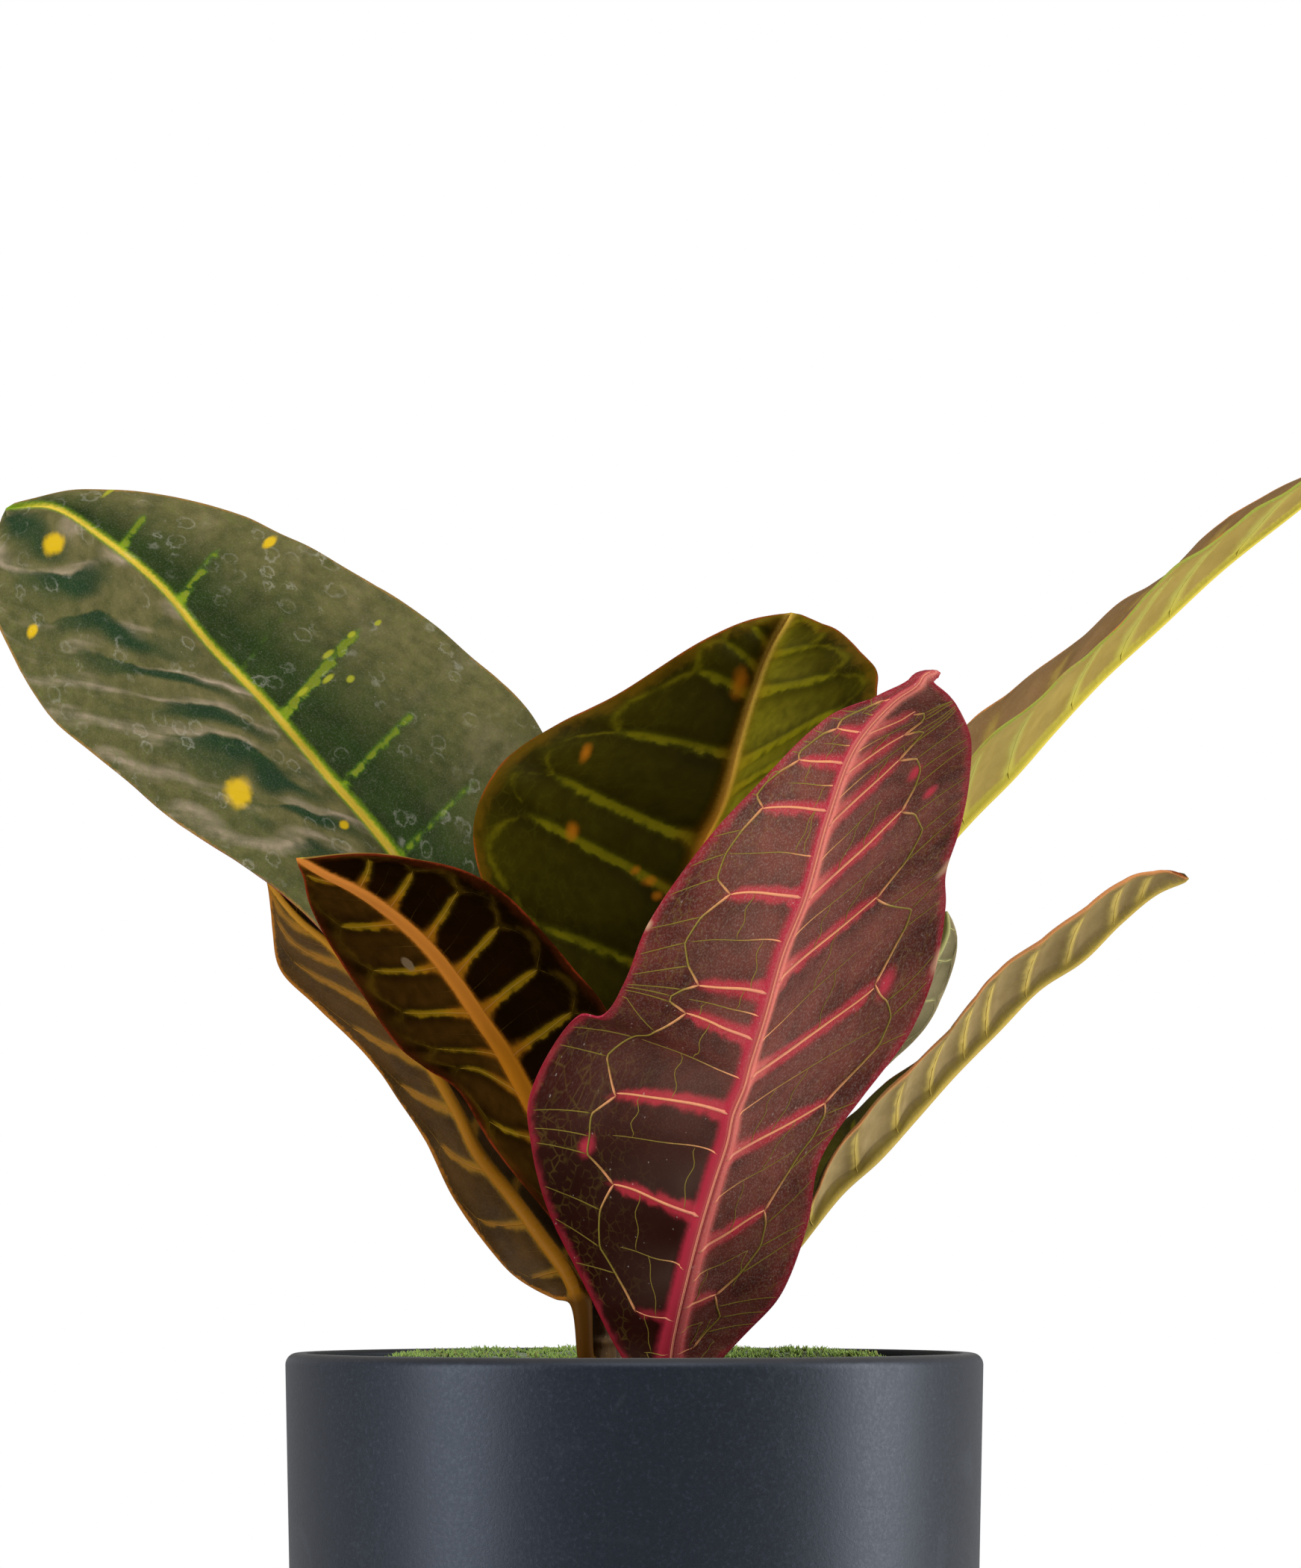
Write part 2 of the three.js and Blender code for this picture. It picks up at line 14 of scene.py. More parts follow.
import bpy
import numpy as np
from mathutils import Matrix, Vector


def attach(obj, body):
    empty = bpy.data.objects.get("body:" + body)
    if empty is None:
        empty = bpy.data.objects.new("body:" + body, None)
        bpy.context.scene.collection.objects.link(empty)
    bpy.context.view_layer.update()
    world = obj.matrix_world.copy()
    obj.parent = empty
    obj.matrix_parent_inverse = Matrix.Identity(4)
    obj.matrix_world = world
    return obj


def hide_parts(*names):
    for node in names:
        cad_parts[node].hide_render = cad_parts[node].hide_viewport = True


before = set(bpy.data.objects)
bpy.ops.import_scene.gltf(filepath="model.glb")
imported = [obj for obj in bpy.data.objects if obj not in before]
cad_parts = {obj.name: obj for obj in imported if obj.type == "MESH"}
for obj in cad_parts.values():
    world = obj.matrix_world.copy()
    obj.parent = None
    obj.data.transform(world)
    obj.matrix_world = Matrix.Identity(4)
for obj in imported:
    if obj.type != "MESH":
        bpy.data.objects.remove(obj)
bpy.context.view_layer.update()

# %% [markdown]
# ## Millimetres, colours and grids
#
# A plant is easier to describe in millimetres than in metres, so every size below is in millimetres and one
# factor brings it to Blender's metres. Colours are picked as sRGB hex values, as in any paint program, and
# one function turns them into the linear values that a shader adds and multiplies.

# %% Units and colours
MM = 0.001
rng = np.random.default_rng(7)


def paint(code):
    """Linear RGBA of an sRGB hex: c / 12.92 where dark, else ((c + 0.055) / 1.055) to the power 2.4."""
    channels = [int(code[i : i + 2], 16) / 255 for i in (1, 3, 5)]
    return [c / 12.92 if c <= 0.04045 else ((c + 0.055) / 1.055) ** 2.4 for c in channels] + [1.0]


def smooth_step(start, end, value):
    """0 below start, 1 above end, and 3 s squared less 2 s cubed between, s being the share of the way."""
    share = np.clip((value - start) / (end - start), 0, 1)
    return share * share * (3 - 2 * share)


print("a middle grey is", round(paint("#808080")[0], 3), "in linear light")

# %% [markdown]
# Bark, soil and leaves are never quite even. Value noise gives that: random numbers sit at the corners of a
# cubic lattice, and a point between them takes a smooth blend of its eight corners. A larger lattice gives
# broad swells and a smaller one gives grit, and both can be added.

# %% Value noise
LATTICE = rng.uniform(-1, 1, (32, 32, 32))


def rough(points, size):
    """Noise from -1 to 1 at points (..., 3): a smooth blend of the random values at the lattice corners."""
    place = np.asarray(points) / size
    low = np.floor(place).astype(int)
    share = place - low
    share = share * share * (3 - 2 * share)
    total = 0
    for corner in np.ndindex(2, 2, 2):
        weight = np.prod(np.where(corner, share, 1 - share), axis=-1)
        i, j, k = np.moveaxis((low + corner) % len(LATTICE), -1, 0)
        total = total + weight * LATTICE[i, j, k]
    return total


print("noise of 6 mm over one centimetre:", rough([[x, 0, 0] for x in range(0, 11, 2)], 6).round(2))

# %% [markdown]
# A mesh is points and faces. All the shapes here are closed bands of rings, so one function numbers the
# faces between rings and closes the two ends with a fan. Faces have to point outwards: the sum over all
# triangles of a . (b x c) / 6 is the volume, and where it is negative the body is inside out and is turned.

# %% Faces over rings, and the mesh


def ring_faces(rings, count):
    """Quads between neighbouring rings of count points, and fans to one middle point at each end."""
    i, j = np.meshgrid(np.arange(rings - 1), np.arange(count), indexing="ij")
    k = (j + 1) % count
    quads = np.stack([i * count + j, i * count + k, (i + 1) * count + k, (i + 1) * count + j], axis=-1)
    j, k = np.arange(count), (np.arange(count) + 1) % count
    last = (rings - 1) * count
    low = np.stack([np.full(count, rings * count), k, j], axis=-1)
    high = np.stack([np.full(count, rings * count + 1), last + j, last + k], axis=-1)
    return quads.reshape(-1, 4), np.concatenate([low, high])


def ring_points(points):
    """The points of rings (rings, count, ...) as a list, followed by the means of the two end rings."""
    flat = points.reshape(-1, *points.shape[2:])
    return np.concatenate([flat, points[:1].mean(axis=1), points[-1:].mean(axis=1)])


def volume(points, triangles):
    """A sixth of the sum of a . (b x c) over triangles a, b, c."""
    a, b, c = (points[triangles[:, corner]] for corner in range(3))
    return np.einsum("ij,ij->", a, np.cross(b, c)) / 6


def make_mesh(name, points, quads, triangles, fields=None):
    """An object of points given in mm, with its faces turned outwards, and fields as attributes."""
    if volume(points, np.concatenate([quads[:, :3], quads[:, [0, 2, 3]], triangles])) < 0:
        quads, triangles = quads[:, ::-1], triangles[:, ::-1]
    mesh = bpy.data.meshes.new(name)
    corners = np.concatenate([quads.ravel(), triangles.ravel()])
    sizes = np.repeat([4, 3], [len(quads), len(triangles)])
    mesh.vertices.add(len(points))
    mesh.vertices.foreach_set("co", (points * MM).astype(np.float32).ravel())
    mesh.loops.add(len(corners))
    mesh.loops.foreach_set("vertex_index", corners.astype(np.int32))
    mesh.polygons.add(len(sizes))
    mesh.polygons.foreach_set("loop_start", (np.cumsum(sizes) - sizes).astype(np.int32))
    mesh.polygons.foreach_set("use_smooth", np.ones(len(sizes), bool))
    mesh.update(calc_edges=True)
    for field, values in (fields or {}).items():
        kind, key = ("FLOAT_VECTOR", "vector") if values.ndim == 2 else ("FLOAT", "value")
        attribute = mesh.attributes.new(field, kind, "POINT")
        attribute.data.foreach_set(key, values.astype(np.float32).ravel())
    piece = bpy.data.objects.new(name, mesh)
    bpy.context.scene.collection.objects.link(piece)
    print(name, len(points), "points,", 2 * len(quads) + len(triangles), "triangles")
    return piece


def ring_mesh(name, rings, fields=None):
    """An object of closed rings (rings, count, xyz), with fields given on the same grid."""
    fields = {field: ring_points(values) for field, values in (fields or {}).items()}
    return make_mesh(name, ring_points(rings), *ring_faces(*rings.shape[:2]), fields)


def finish_piece(piece, material, slot, *nodes):
    """Gives a piece its material and the CAD nodes that it stands for. The slot is not used."""
    piece.data.materials.append(material)
    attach(piece, "root")
    if nodes:
        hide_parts(*nodes)


# %% [markdown]
# ## Nodes
#
# A material is a small graph. One function adds any node, sets its properties and fills its sockets: a
# socket given as a value is linked, and anything else is set as a number or colour. A texture's scale is
# how many of its cells fit in one unit of its coordinates, so it is worked out from a cell's size in mm.
# Patterns that come back in every leaf get a function each: masks multiplied, a bell curve, a drawn line,
# and coats of paint laid one over another.

# %% Adding nodes
MATH = "ShaderNodeMath"
MIX = "ShaderNodeMix"
RANGE = "ShaderNodeMapRange"
NOISE = "ShaderNodeTexNoise"
VORONOI = "ShaderNodeTexVoronoi"
SPLIT = "ShaderNodeSeparateXYZ"
JOIN = "ShaderNodeCombineXYZ"
ATTRIBUTE = "ShaderNodeAttribute"
BUMP = "ShaderNodeBump"
SMOOTH = {"interpolation_type": "SMOOTHSTEP"}


def add(tree, kind, inputs=None, output=0, **settings):
    """Adds a node with its settings and links, and returns one output, or the node if output is None."""
    node = tree.nodes.new(kind)
    for key, value in settings.items():
        setattr(node, key, value)
    for key, value in (inputs or {}).items():
        if isinstance(value, bpy.types.NodeSocket):
            tree.links.new(value, node.inputs[key])
        else:
            node.inputs[key].default_value = value
    return node if output is None else node.outputs[output]


def cells_of(size):
    """The scale at which one cell of a texture on coordinates in metres is size mm wide."""
    return 1 / (size * MM)


def product(tree, first, *factors):
    """The first value times each factor in turn. Of masks, it is what lies in all of them."""
    for factor in factors:
        first = add(tree, MATH, {0: first, 1: factor}, operation="MULTIPLY")
    return first


def bell(tree, distance, sharpness):
    """exp(-sharpness times distance squared): 1 on a line, and falling off evenly on both sides."""
    power = product(tree, distance, distance, -sharpness)
    return add(tree, MATH, {0: power}, operation="EXPONENT")


def coats(tree, base, layers):
    """Colours laid over a base in turn: each is mixed in by its mask."""
    for colour, mask in layers:
        base = add(tree, MIX, {0: mask, 6: base, 7: colour}, 2, data_type="RGBA")
    return base


def line(tree, distance, half, soft):
    """A line's mask: 1 well within the half width of the distance, falling to 0 over the soft length."""
    inside = add(tree, MATH, {0: half, 1: distance}, operation="SUBTRACT")
    return add(tree, RANGE, {0: inside, 1: -soft / 2, 2: soft / 2}, **SMOOTH)


def finish_skin(tree, shader, colour, height, strength, depth):
    """Links a colour to the shader, and a height as relief of a strength, depth mm deep."""
    tree.links.new(colour, shader.inputs["Base Color"])
    relief = add(tree, BUMP, {"Height": height, "Strength": strength, "Distance": depth * MM})
    tree.links.new(relief, shader.inputs["Normal"])


def new_material(name, roughness, ior, **constants):
    """A material with one Principled shader. Constants are set on the shader's own sockets."""
    material = bpy.data.materials.new(name)
    material.use_nodes = True
    tree = material.node_tree
    shader = tree.nodes["Principled BSDF"]
    shader.inputs["Roughness"].default_value = roughness
    shader.inputs["IOR"].default_value = ior
    for socket, value in constants.items():
        shader.inputs[socket.replace("_", " ")].default_value = value
    print("material", name, "of roughness", roughness)
    return material, tree, shader


# %% [markdown]
# ## Camera, light and floor
#
# The picture was taken from nearly level, a little above the pot's rim, with a long lens, since the rim's
# ellipse is very flat and the leaves show no strong perspective. The pot shows two upright highlights, one
# to the left of its middle and one far to the right, with a dark middle between them. That means tall soft
# lights at both sides and none in front. The highlight of a cylinder lies where the surface faces half way
# between the camera and the light, so its place gives each light's direction.

# %% Camera
CAMERA_PLACE = (3.0, -1400.0, 140.48)
CAMERA_TILT_DEG = 3.42
LENS_MM = 172
SENSOR_MM = 36

camera = bpy.data.objects.new("camera", bpy.data.cameras.new("camera"))
camera.data.lens = LENS_MM
camera.data.sensor_width = SENSOR_MM
camera.location = [v * MM for v in CAMERA_PLACE]
camera.rotation_euler = (math.radians(90 + CAMERA_TILT_DEG), 0, 0)
bpy.context.scene.collection.objects.link(camera)
bpy.context.scene.camera = camera
bpy.context.scene.view_settings.view_transform = "Standard"
view_deg = math.degrees(2 * math.atan(SENSOR_MM / (2 * LENS_MM)))
print("camera at", CAMERA_PLACE, "mm sees", round(view_deg, 1), "degrees of width")

# %% Lights
# Each light: degrees round from the camera to the right, height, distance, width, tall side, power in watts
LIGHTS = {
    "left_softbox": (-58, 330, 900, 340, 900, 11.5),
    "right_softbox": (84, 330, 900, 380, 900, 13.5),
    "top_softbox": (10, 950, 420, 500, 500, 5.5),
}
AIM = np.array([0, 0, 160.0])

for name, (round_deg, height, distance, width, tall, power) in LIGHTS.items():
    angle = math.radians(round_deg)
    place = np.array([distance * math.sin(angle), -distance * math.cos(angle), height])
    lamp = bpy.data.lights.new(name, "AREA")
    lamp.shape = "RECTANGLE"
    lamp.size = width * MM
    lamp.size_y = tall * MM
    lamp.energy = power
    light = bpy.data.objects.new(name, lamp)
    light.location = place * MM
    light.rotation_euler = Vector(AIM - place).to_track_quat("-Z", "Y").to_euler()
    bpy.context.scene.collection.objects.link(light)
    print(name, "of", power, "W stands", round(float(np.linalg.norm(place - AIM))), "mm from the plant")

# %% White backdrop
# The camera sees it at full strength, and the plant gets a dimmer, even light from it
BACKDROP = 1.0
AMBIENT = 0.2

world = bpy.data.worlds.new("studio")
world.use_nodes = True
bpy.context.scene.world = world
tree = world.node_tree
tree.nodes.clear()
seen = add(tree, "ShaderNodeLightPath", output="Is Camera Ray")
brightness = add(tree, MIX, {0: seen, 2: AMBIENT, 3: BACKDROP})
backdrop = add(tree, "ShaderNodeBackground", {"Color": paint("#ffffff"), "Strength": brightness})
add(tree, "ShaderNodeOutputWorld", {"Surface": backdrop}, None)
print("backdrop", BACKDROP, "to the camera and", AMBIENT, "to the plant")

# %% Floor
# A disc that fades out into the backdrop, so that no edge or horizon shows from any side
FLOOR_RADIUS = 700
FLOOR_FADES_FROM = 250
FLOOR_FADES_TO = 660
FLOOR_RINGS = 12
FLOOR_SIDES = 96

floor_rings = np.linspace(1, 0.02, FLOOR_RINGS)[:, None, None] * FLOOR_RADIUS
floor_angle = np.linspace(0, 2 * np.pi, FLOOR_SIDES, endpoint=False)
floor_points = floor_rings * np.stack([np.cos(floor_angle), np.sin(floor_angle), 0 * floor_angle], axis=1)
floor_quads, floor_fans = ring_faces(FLOOR_RINGS, FLOOR_SIDES)
floor = make_mesh("floor", ring_points(floor_points), floor_quads, floor_fans[FLOOR_SIDES:])

floor_paint, tree, shader = new_material("matt_white_paint", 0.8, 1.45, Base_Color=paint("#f2f1ee"))
place = add(tree, "ShaderNodeTexCoord", output="Object")
from_middle = add(tree, "ShaderNodeVectorMath", {0: place}, "Value", operation="LENGTH")
fading = {0: from_middle, 1: FLOOR_FADES_TO * MM, 2: FLOOR_FADES_FROM * MM}
near = add(tree, RANGE, fading, **SMOOTH)
tree.links.new(near, shader.inputs["Alpha"])
floor.data.materials.append(floor_paint)

# %% [markdown]
# ## The pot
#
# A pot like this is thrown or pressed on a wheel, so it is one profile turned about the upright axis. The
# wall leans out slightly from foot to rim, and the lip is rolled over, with a tighter round on its inner
# edge. The inside belongs to the same profile, so the wall has its real thickness where the soil leaves it
# bare.

# %% Pot sizes
POT_HEIGHT = 118
RIM_RADIUS = 65
FOOT_RADIUS = 62.5
POT_WALL = 4.5
POT_FLOOR = 8
RIM_ROUND = 2.2
INNER_ROUND = 1
FOOT_ROUND = 1.5
POT_SEGMENTS = 256


def inside_radius(z):
    """Radius of the inside wall at a height: the outside wall's straight taper less its thickness."""
    taper = (RIM_RADIUS - FOOT_RADIUS) / POT_HEIGHT
    return RIM_RADIUS - POT_WALL - (POT_HEIGHT - z) * taper


print("the pot is", round(2 * inside_radius(POT_HEIGHT), 1), "mm wide inside its rim")

# %% Pot shape


def arc(radius_at, z_at, radius, start_deg, end_deg, steps=12):
    """Points (r, z) on a circle's arc: centre plus radius times (cos, sin) of the angle."""
    angle = np.radians(np.linspace(start_deg, end_deg, steps))
    return np.stack([radius_at + radius * np.cos(angle), z_at + radius * np.sin(angle)], axis=1)


def straight(start, end, steps=12):
    """Points (r, z) spread evenly between two points, both left out."""
    return np.linspace(start, end, steps + 2)[1:-1]


def turned(profile, segments):
    """Each profile point (r, z) becomes a ring (r cos angle, r sin angle, z)."""
    angle = np.linspace(0, 2 * np.pi, segments, endpoint=False)
    r, z = profile[:, :1], profile[:, 1:]
    return np.stack([r * np.cos(angle), r * np.sin(angle), z + 0 * angle], axis=2)


def pot_profile():
    """Underside, rounded foot, outside wall, rolled lip, inside wall and floor, from axis to axis."""
    foot = arc(FOOT_RADIUS - FOOT_ROUND, FOOT_ROUND, FOOT_ROUND, -90, 0)
    lip = arc(RIM_RADIUS - RIM_ROUND, POT_HEIGHT - RIM_ROUND, RIM_ROUND, 0, 90, 20)
    inner = arc(RIM_RADIUS - POT_WALL + INNER_ROUND, POT_HEIGHT - INNER_ROUND, INNER_ROUND, 90, 180)
    floor = (inside_radius(POT_FLOOR), POT_FLOOR)
    stretches = [straight((1, 0), foot[0]), foot, straight(foot[-1], lip[0], 40), lip, inner]
    stretches += [straight(inner[-1], floor, 30), [floor], straight(floor, (1, POT_FLOOR))]
    return np.concatenate(stretches)


pot = ring_mesh("pot_turned", turned(pot_profile(), POT_SEGMENTS))

# %% [markdown]
# The glaze is a satin slate blue: matt glazes hold tiny crystals that break up the reflection, so
# highlights are wide and soft and a fine grain shows in them. Where hands and watering touch the lip it has
# darkened with wear. The ring it stands on was wiped clean before firing, and shows bare stoneware.

# %% Satin glazed stoneware
GLAZE_CLOUD = 35.714
GLAZE_GRAIN = 0.7143
GLAZE_SMEAR = 13.333
LIP_WORN_FROM = 116.8
LIP_WORN_TO = 117.8
BARE_UNDER = 0.6
BARE_FULLY_UNDER = 0.2


def glazed_stoneware():
    """Slate glaze with clouds, grain and faint smears, and by height a worn lip and an unglazed foot."""
    gloss = {"Specular_IOR_Level": 0.36, "Specular_Tint": paint("#d0dcf0"), "Sheen_Weight": 0.1}
    material, tree, shader = new_material("satin_glazed_stoneware", 0.5, 1.45, **gloss)
    place = add(tree, "ShaderNodeTexCoord", output="Object")
    z = add(tree, SPLIT, {0: place}, "Z")
    cloud = add(tree, NOISE, {"Vector": place, "Scale": cells_of(GLAZE_CLOUD), "Detail": 5})
    grain = {"Vector": place, "Scale": cells_of(GLAZE_GRAIN), "Detail": 3, "Roughness": 0.7}
    grain = add(tree, NOISE, grain)
    smear = {"Vector": place, "Scale": cells_of(GLAZE_SMEAR), "Detail": 6, "Distortion": 1.2}
    smear = add(tree, NOISE, smear)
    smeared = add(tree, RANGE, {0: smear, 1: 0.60, 2: 0.74, 4: 0.16})
    speckle = add(tree, RANGE, {0: grain, 1: 0.55, 2: 0.75, 4: 0.35})
    lip = add(tree, RANGE, {0: z, 1: LIP_WORN_FROM * MM, 2: LIP_WORN_TO * MM, 4: 0.75})
    foot = add(tree, RANGE, {0: z, 1: BARE_UNDER * MM, 2: BARE_FULLY_UNDER * MM})
    base = coats(tree, paint("#0b0f16"), [(paint("#10151e"), cloud)])
    layers = [
        (paint("#2e3642"), speckle),
        (paint("#34393f"), smeared),
        (paint("#1c1814"), lip),
        (paint("#9a8674"), foot),
    ]
    rough_glaze = add(tree, RANGE, {0: grain, 1: 0.3, 2: 0.7, 3: 0.36, 4: 0.5})
    matt = add(tree, MATH, {0: lip, 1: smeared}, operation="MAXIMUM")
    roughness = add(tree, MIX, {0: matt, 2: rough_glaze, 3: 0.75})
    tree.links.new(roughness, shader.inputs["Roughness"])
    finish_skin(tree, shader, coats(tree, base, layers), grain, 0.35, 0.12)
    return material


finish_piece(pot, glazed_stoneware(), "pot_glaze", "pot")

# %% [markdown]
# ## Soil
#
# House plants stand in a mix of peat, composted bark and a little perlite. The surface is lumpy at three
# scales, which are three noises added: swells of three millimetres, clods of half that, and grit. The
# rings of points are squeezed off centre, so that the innermost one is the hole in which the stem stands.

# %% Soil shape
SOIL_FRONT_LEVEL = 99
SOIL_BANK_RISE = 12
SOIL_BANK_FROM = -20
SOIL_BANK_TO = 40
SOIL_GAP = 0.3
SOIL_LUMP = 0.7
SOIL_LUMP_SIZE = 6
SOIL_SEGMENTS = 220
SOIL_RINGS = 110
STEM_FOOT = np.array([-6.0, 1.0, 86.0])
STEM_FOOT_RADIUS = 4.3
HOLE_CLEARANCE = 0.4
# Height and size of the swells, the clods and the grit
SWELL = (0.9, 3.1)
CLOD = (0.6, 1.4)
GRIT = (0.3, 0.7)


def lumps(x, y, height, size):
    """Low rounded lumps: height times sin(x / size + 1) times sin(y / size + 2)."""
    return height * np.sin(x / size + 1) * np.sin(y / size + 2)


def soil_level(x, y):
    """Level in front, rising smoothly to a bank at the rear, with low lumps on it."""
    bank = SOIL_BANK_RISE * smooth_step(SOIL_BANK_FROM, SOIL_BANK_TO, y)
    return SOIL_FRONT_LEVEL + bank + lumps(x, y, SOIL_LUMP, SOIL_LUMP_SIZE)


def soil_rings():
    """Rings up the wall, over the lumpy top towards the stem, and down the hole beside it.

    The lumps are lower beside the wall and the stem, by 6 s (1.02 - s) + 0.2 of the share s between them.
    """
    angle = np.linspace(0, 2 * np.pi, SOIL_SEGMENTS, endpoint=False)
    around = np.stack([np.cos(angle), np.sin(angle), 0 * angle], axis=1)
    edge = inside_radius(SOIL_FRONT_LEVEL) - SOIL_GAP
    share = np.linspace(1, 0, SOIL_RINGS)[:, None, None]
    radius = STEM_FOOT_RADIUS + HOLE_CLEARANCE + (edge - STEM_FOOT_RADIUS - HOLE_CLEARANCE) * share
    top = STEM_FOOT * (1 - share) + radius * around
    level = soil_level(top[..., 0], top[..., 1])
    flat = np.stack([top[..., 0], top[..., 1], 0 * level], axis=2)
    lumpy = SWELL[0] * rough(flat, SWELL[1]) + CLOD[0] * np.abs(rough(flat, CLOD[1]))
    lumpy = lumpy + GRIT[0] * rough(flat, GRIT[1])
    top[..., 2] = level + lumpy * np.minimum(1, 6 * share[..., 0] * (1.02 - share[..., 0]) + 0.2)
    foot = np.array([0, 0, POT_FLOOR + SOIL_GAP])
    low = foot + (inside_radius(POT_FLOOR) - SOIL_GAP) * around
    hole = STEM_FOOT - [0, 0, SOIL_GAP] + (STEM_FOOT_RADIUS + HOLE_CLEARANCE) * around
    return np.concatenate([low[None], top, hole[None]])


soil = ring_mesh("soil_surface", soil_rings())

# %% [markdown]
# Loose crumbs and slivers of bark lie on it. Each is a squashed box-like lump of few faces with jittered
# corners, turned at random. One array holds the eight corners of all of them.

# %% Crumbs and bark slivers
CRUMB_COUNT = 900
SLIVER_SHARE = 0.25
SLIVER_STRETCH = [2.6, 0.9, 0.35]
CRUMBS_OFF_WALL = 3
CRUMBS_OFF_STEM = 7
CRUMB_MOVED = 14
CRUMB_RAISED = 0.7
CRUMB_FACES = [[0, 1, 3, 2], [4, 6, 7, 5], [0, 4, 5, 1], [2, 3, 7, 6], [0, 2, 6, 4], [1, 5, 7, 3]]


def turned_randomly(count):
    """Random rotation matrices: the Q of a random matrix's QR, with its third column made right handed."""
    turn, _ = np.linalg.qr(rng.normal(size=(count, 3, 3)))
    turn[:, :, 2] = np.cross(turn[:, :, 0], turn[:, :, 1])
    return turn


def crumb_points(count):
    """Corners (-1 or 1 on each axis), jittered, scaled per crumb, turned, and set on the soil.

    They are spread evenly over a disc, by the square root of a random share of its radius, and those that
    would lie in the stem are moved aside.
    """
    corners = np.array(list(np.ndindex(2, 2, 2))) * 2.0 - 1
    corners = corners + rng.uniform(-0.35, 0.35, (count, 8, 3))
    size = rng.uniform(0.35, 0.9, (count, 1, 1)) * rng.uniform(0.5, 1.3, (count, 1, 3))
    slivers = rng.random(count) < SLIVER_SHARE
    size[slivers] *= SLIVER_STRETCH
    points = np.einsum("nij,nkj->nki", turned_randomly(count), corners * size)
    radius = (inside_radius(SOIL_FRONT_LEVEL) - CRUMBS_OFF_WALL) * np.sqrt(rng.random(count))
    angle = rng.uniform(0, 2 * np.pi, count)
    x, y = radius * np.cos(angle), radius * np.sin(angle)
    near = np.hypot(x - STEM_FOOT[0], y - STEM_FOOT[1]) < CRUMBS_OFF_STEM
    x = np.where(near, x - CRUMB_MOVED, x)
    place = np.stack([x, y, soil_level(x, y) + CRUMB_RAISED], axis=1)
    return points + place[:, None]


crumb_corners = crumb_points(CRUMB_COUNT)
crumb_quads = (np.arange(CRUMB_COUNT)[:, None, None] * 8 + np.array(CRUMB_FACES)).reshape(-1, 4)
crumb_tint = np.repeat(rng.random(CRUMB_COUNT), 8)
no_ends = np.zeros((0, 3), int)
crumbs = make_mesh("soil_crumbs", crumb_corners.reshape(-1, 3), crumb_quads, no_ends, {"tint": crumb_tint})

# %% [markdown]
# Peat is almost black when damp and red brown where it dries, bark is lighter with a fibrous grain, and
# perlite is off white. The colours follow broad damp patches and, on the crumbs, a random number each.

# %% Peat and bark compost
DAMP_PATCH = 16.667
PEAT_GRIT = 1.111


def compost(name, crumb):
    """Dark peat with drier patches. Crumbs take a colour from a ramp by the random number each carries."""
    material, tree, shader = new_material(name, 0.92, 1.4)
    place = add(tree, "ShaderNodeTexCoord", output="Object")
    patch = add(tree, NOISE, {"Vector": place, "Scale": cells_of(DAMP_PATCH), "Detail": 4})
    grit = {"Vector": place, "Scale": cells_of(PEAT_GRIT), "Detail": 4, "Roughness": 0.75}
    grit = add(tree, NOISE, grit)
    mixed = add(tree, RANGE, {0: grit, 1: 0.3, 2: 0.7})
    colour = coats(tree, paint("#1f150d"), [(paint("#4d3826"), mixed)])
    dry = add(tree, RANGE, {0: patch, 1: 0.5, 2: 0.75, 4: 0.6})
    layers = [(paint("#5c4632"), dry)]
    if crumb:
        tint = add(tree, ATTRIBUTE, attribute_name="tint", output="Fac")
        bark = add(tree, RANGE, {0: tint, 1: 0.3, 2: 0.9, 4: 0.8})
        perlite = add(tree, MATH, {0: tint, 1: 0.965}, operation="GREATER_THAN")
        layers += [(paint("#7a5638"), bark), (paint("#cfcabd"), perlite)]
    finish_skin(tree, shader, coats(tree, colour, layers), grit, 0.8, 0.4)
    return material


finish_piece(soil, compost("damp_peat_compost", False), "soil", "soil")
finish_piece(crumbs, compost("bark_crumbs", True), "soil")

# %% [markdown]
# ## Moss
#
# A cushion of moss covers the rear of the soil and stands just above the rim. It is a soft crowned pad with
# a scalloped front edge, and on it thousands of short leafy shoots. The pad is a grid: one share runs along
# the cushion and the other across it. Each shoot is a bent spike of three sides, so it costs few faces.

# %% Moss cushion
MOSS_FRONT_Y = 12
MOSS_END_Y = 4
MOSS_END_X = 57
MOSS_ENDS_FROM = 41
MOSS_SCALLOP = 1.6
MOSS_SCALLOPS = 3.5
MOSS_TOP = 118.6
MOSS_WALL_DROP = 2.4
MOSS_END_DROP = 4.5
MOSS_LUMP = 0.7
MOSS_LUMP_SIZE = 4.5
MOSS_THINNEST = 1.2
MOSS_SUNK = 1.3
MOSS_CROWN_WITHIN = 0.45
MOSS_SEAT = 0.9
MOSS_GAP = 0.6
# Height and size of the knobs on it
MOSS_KNOB = (0.5, 2.2)


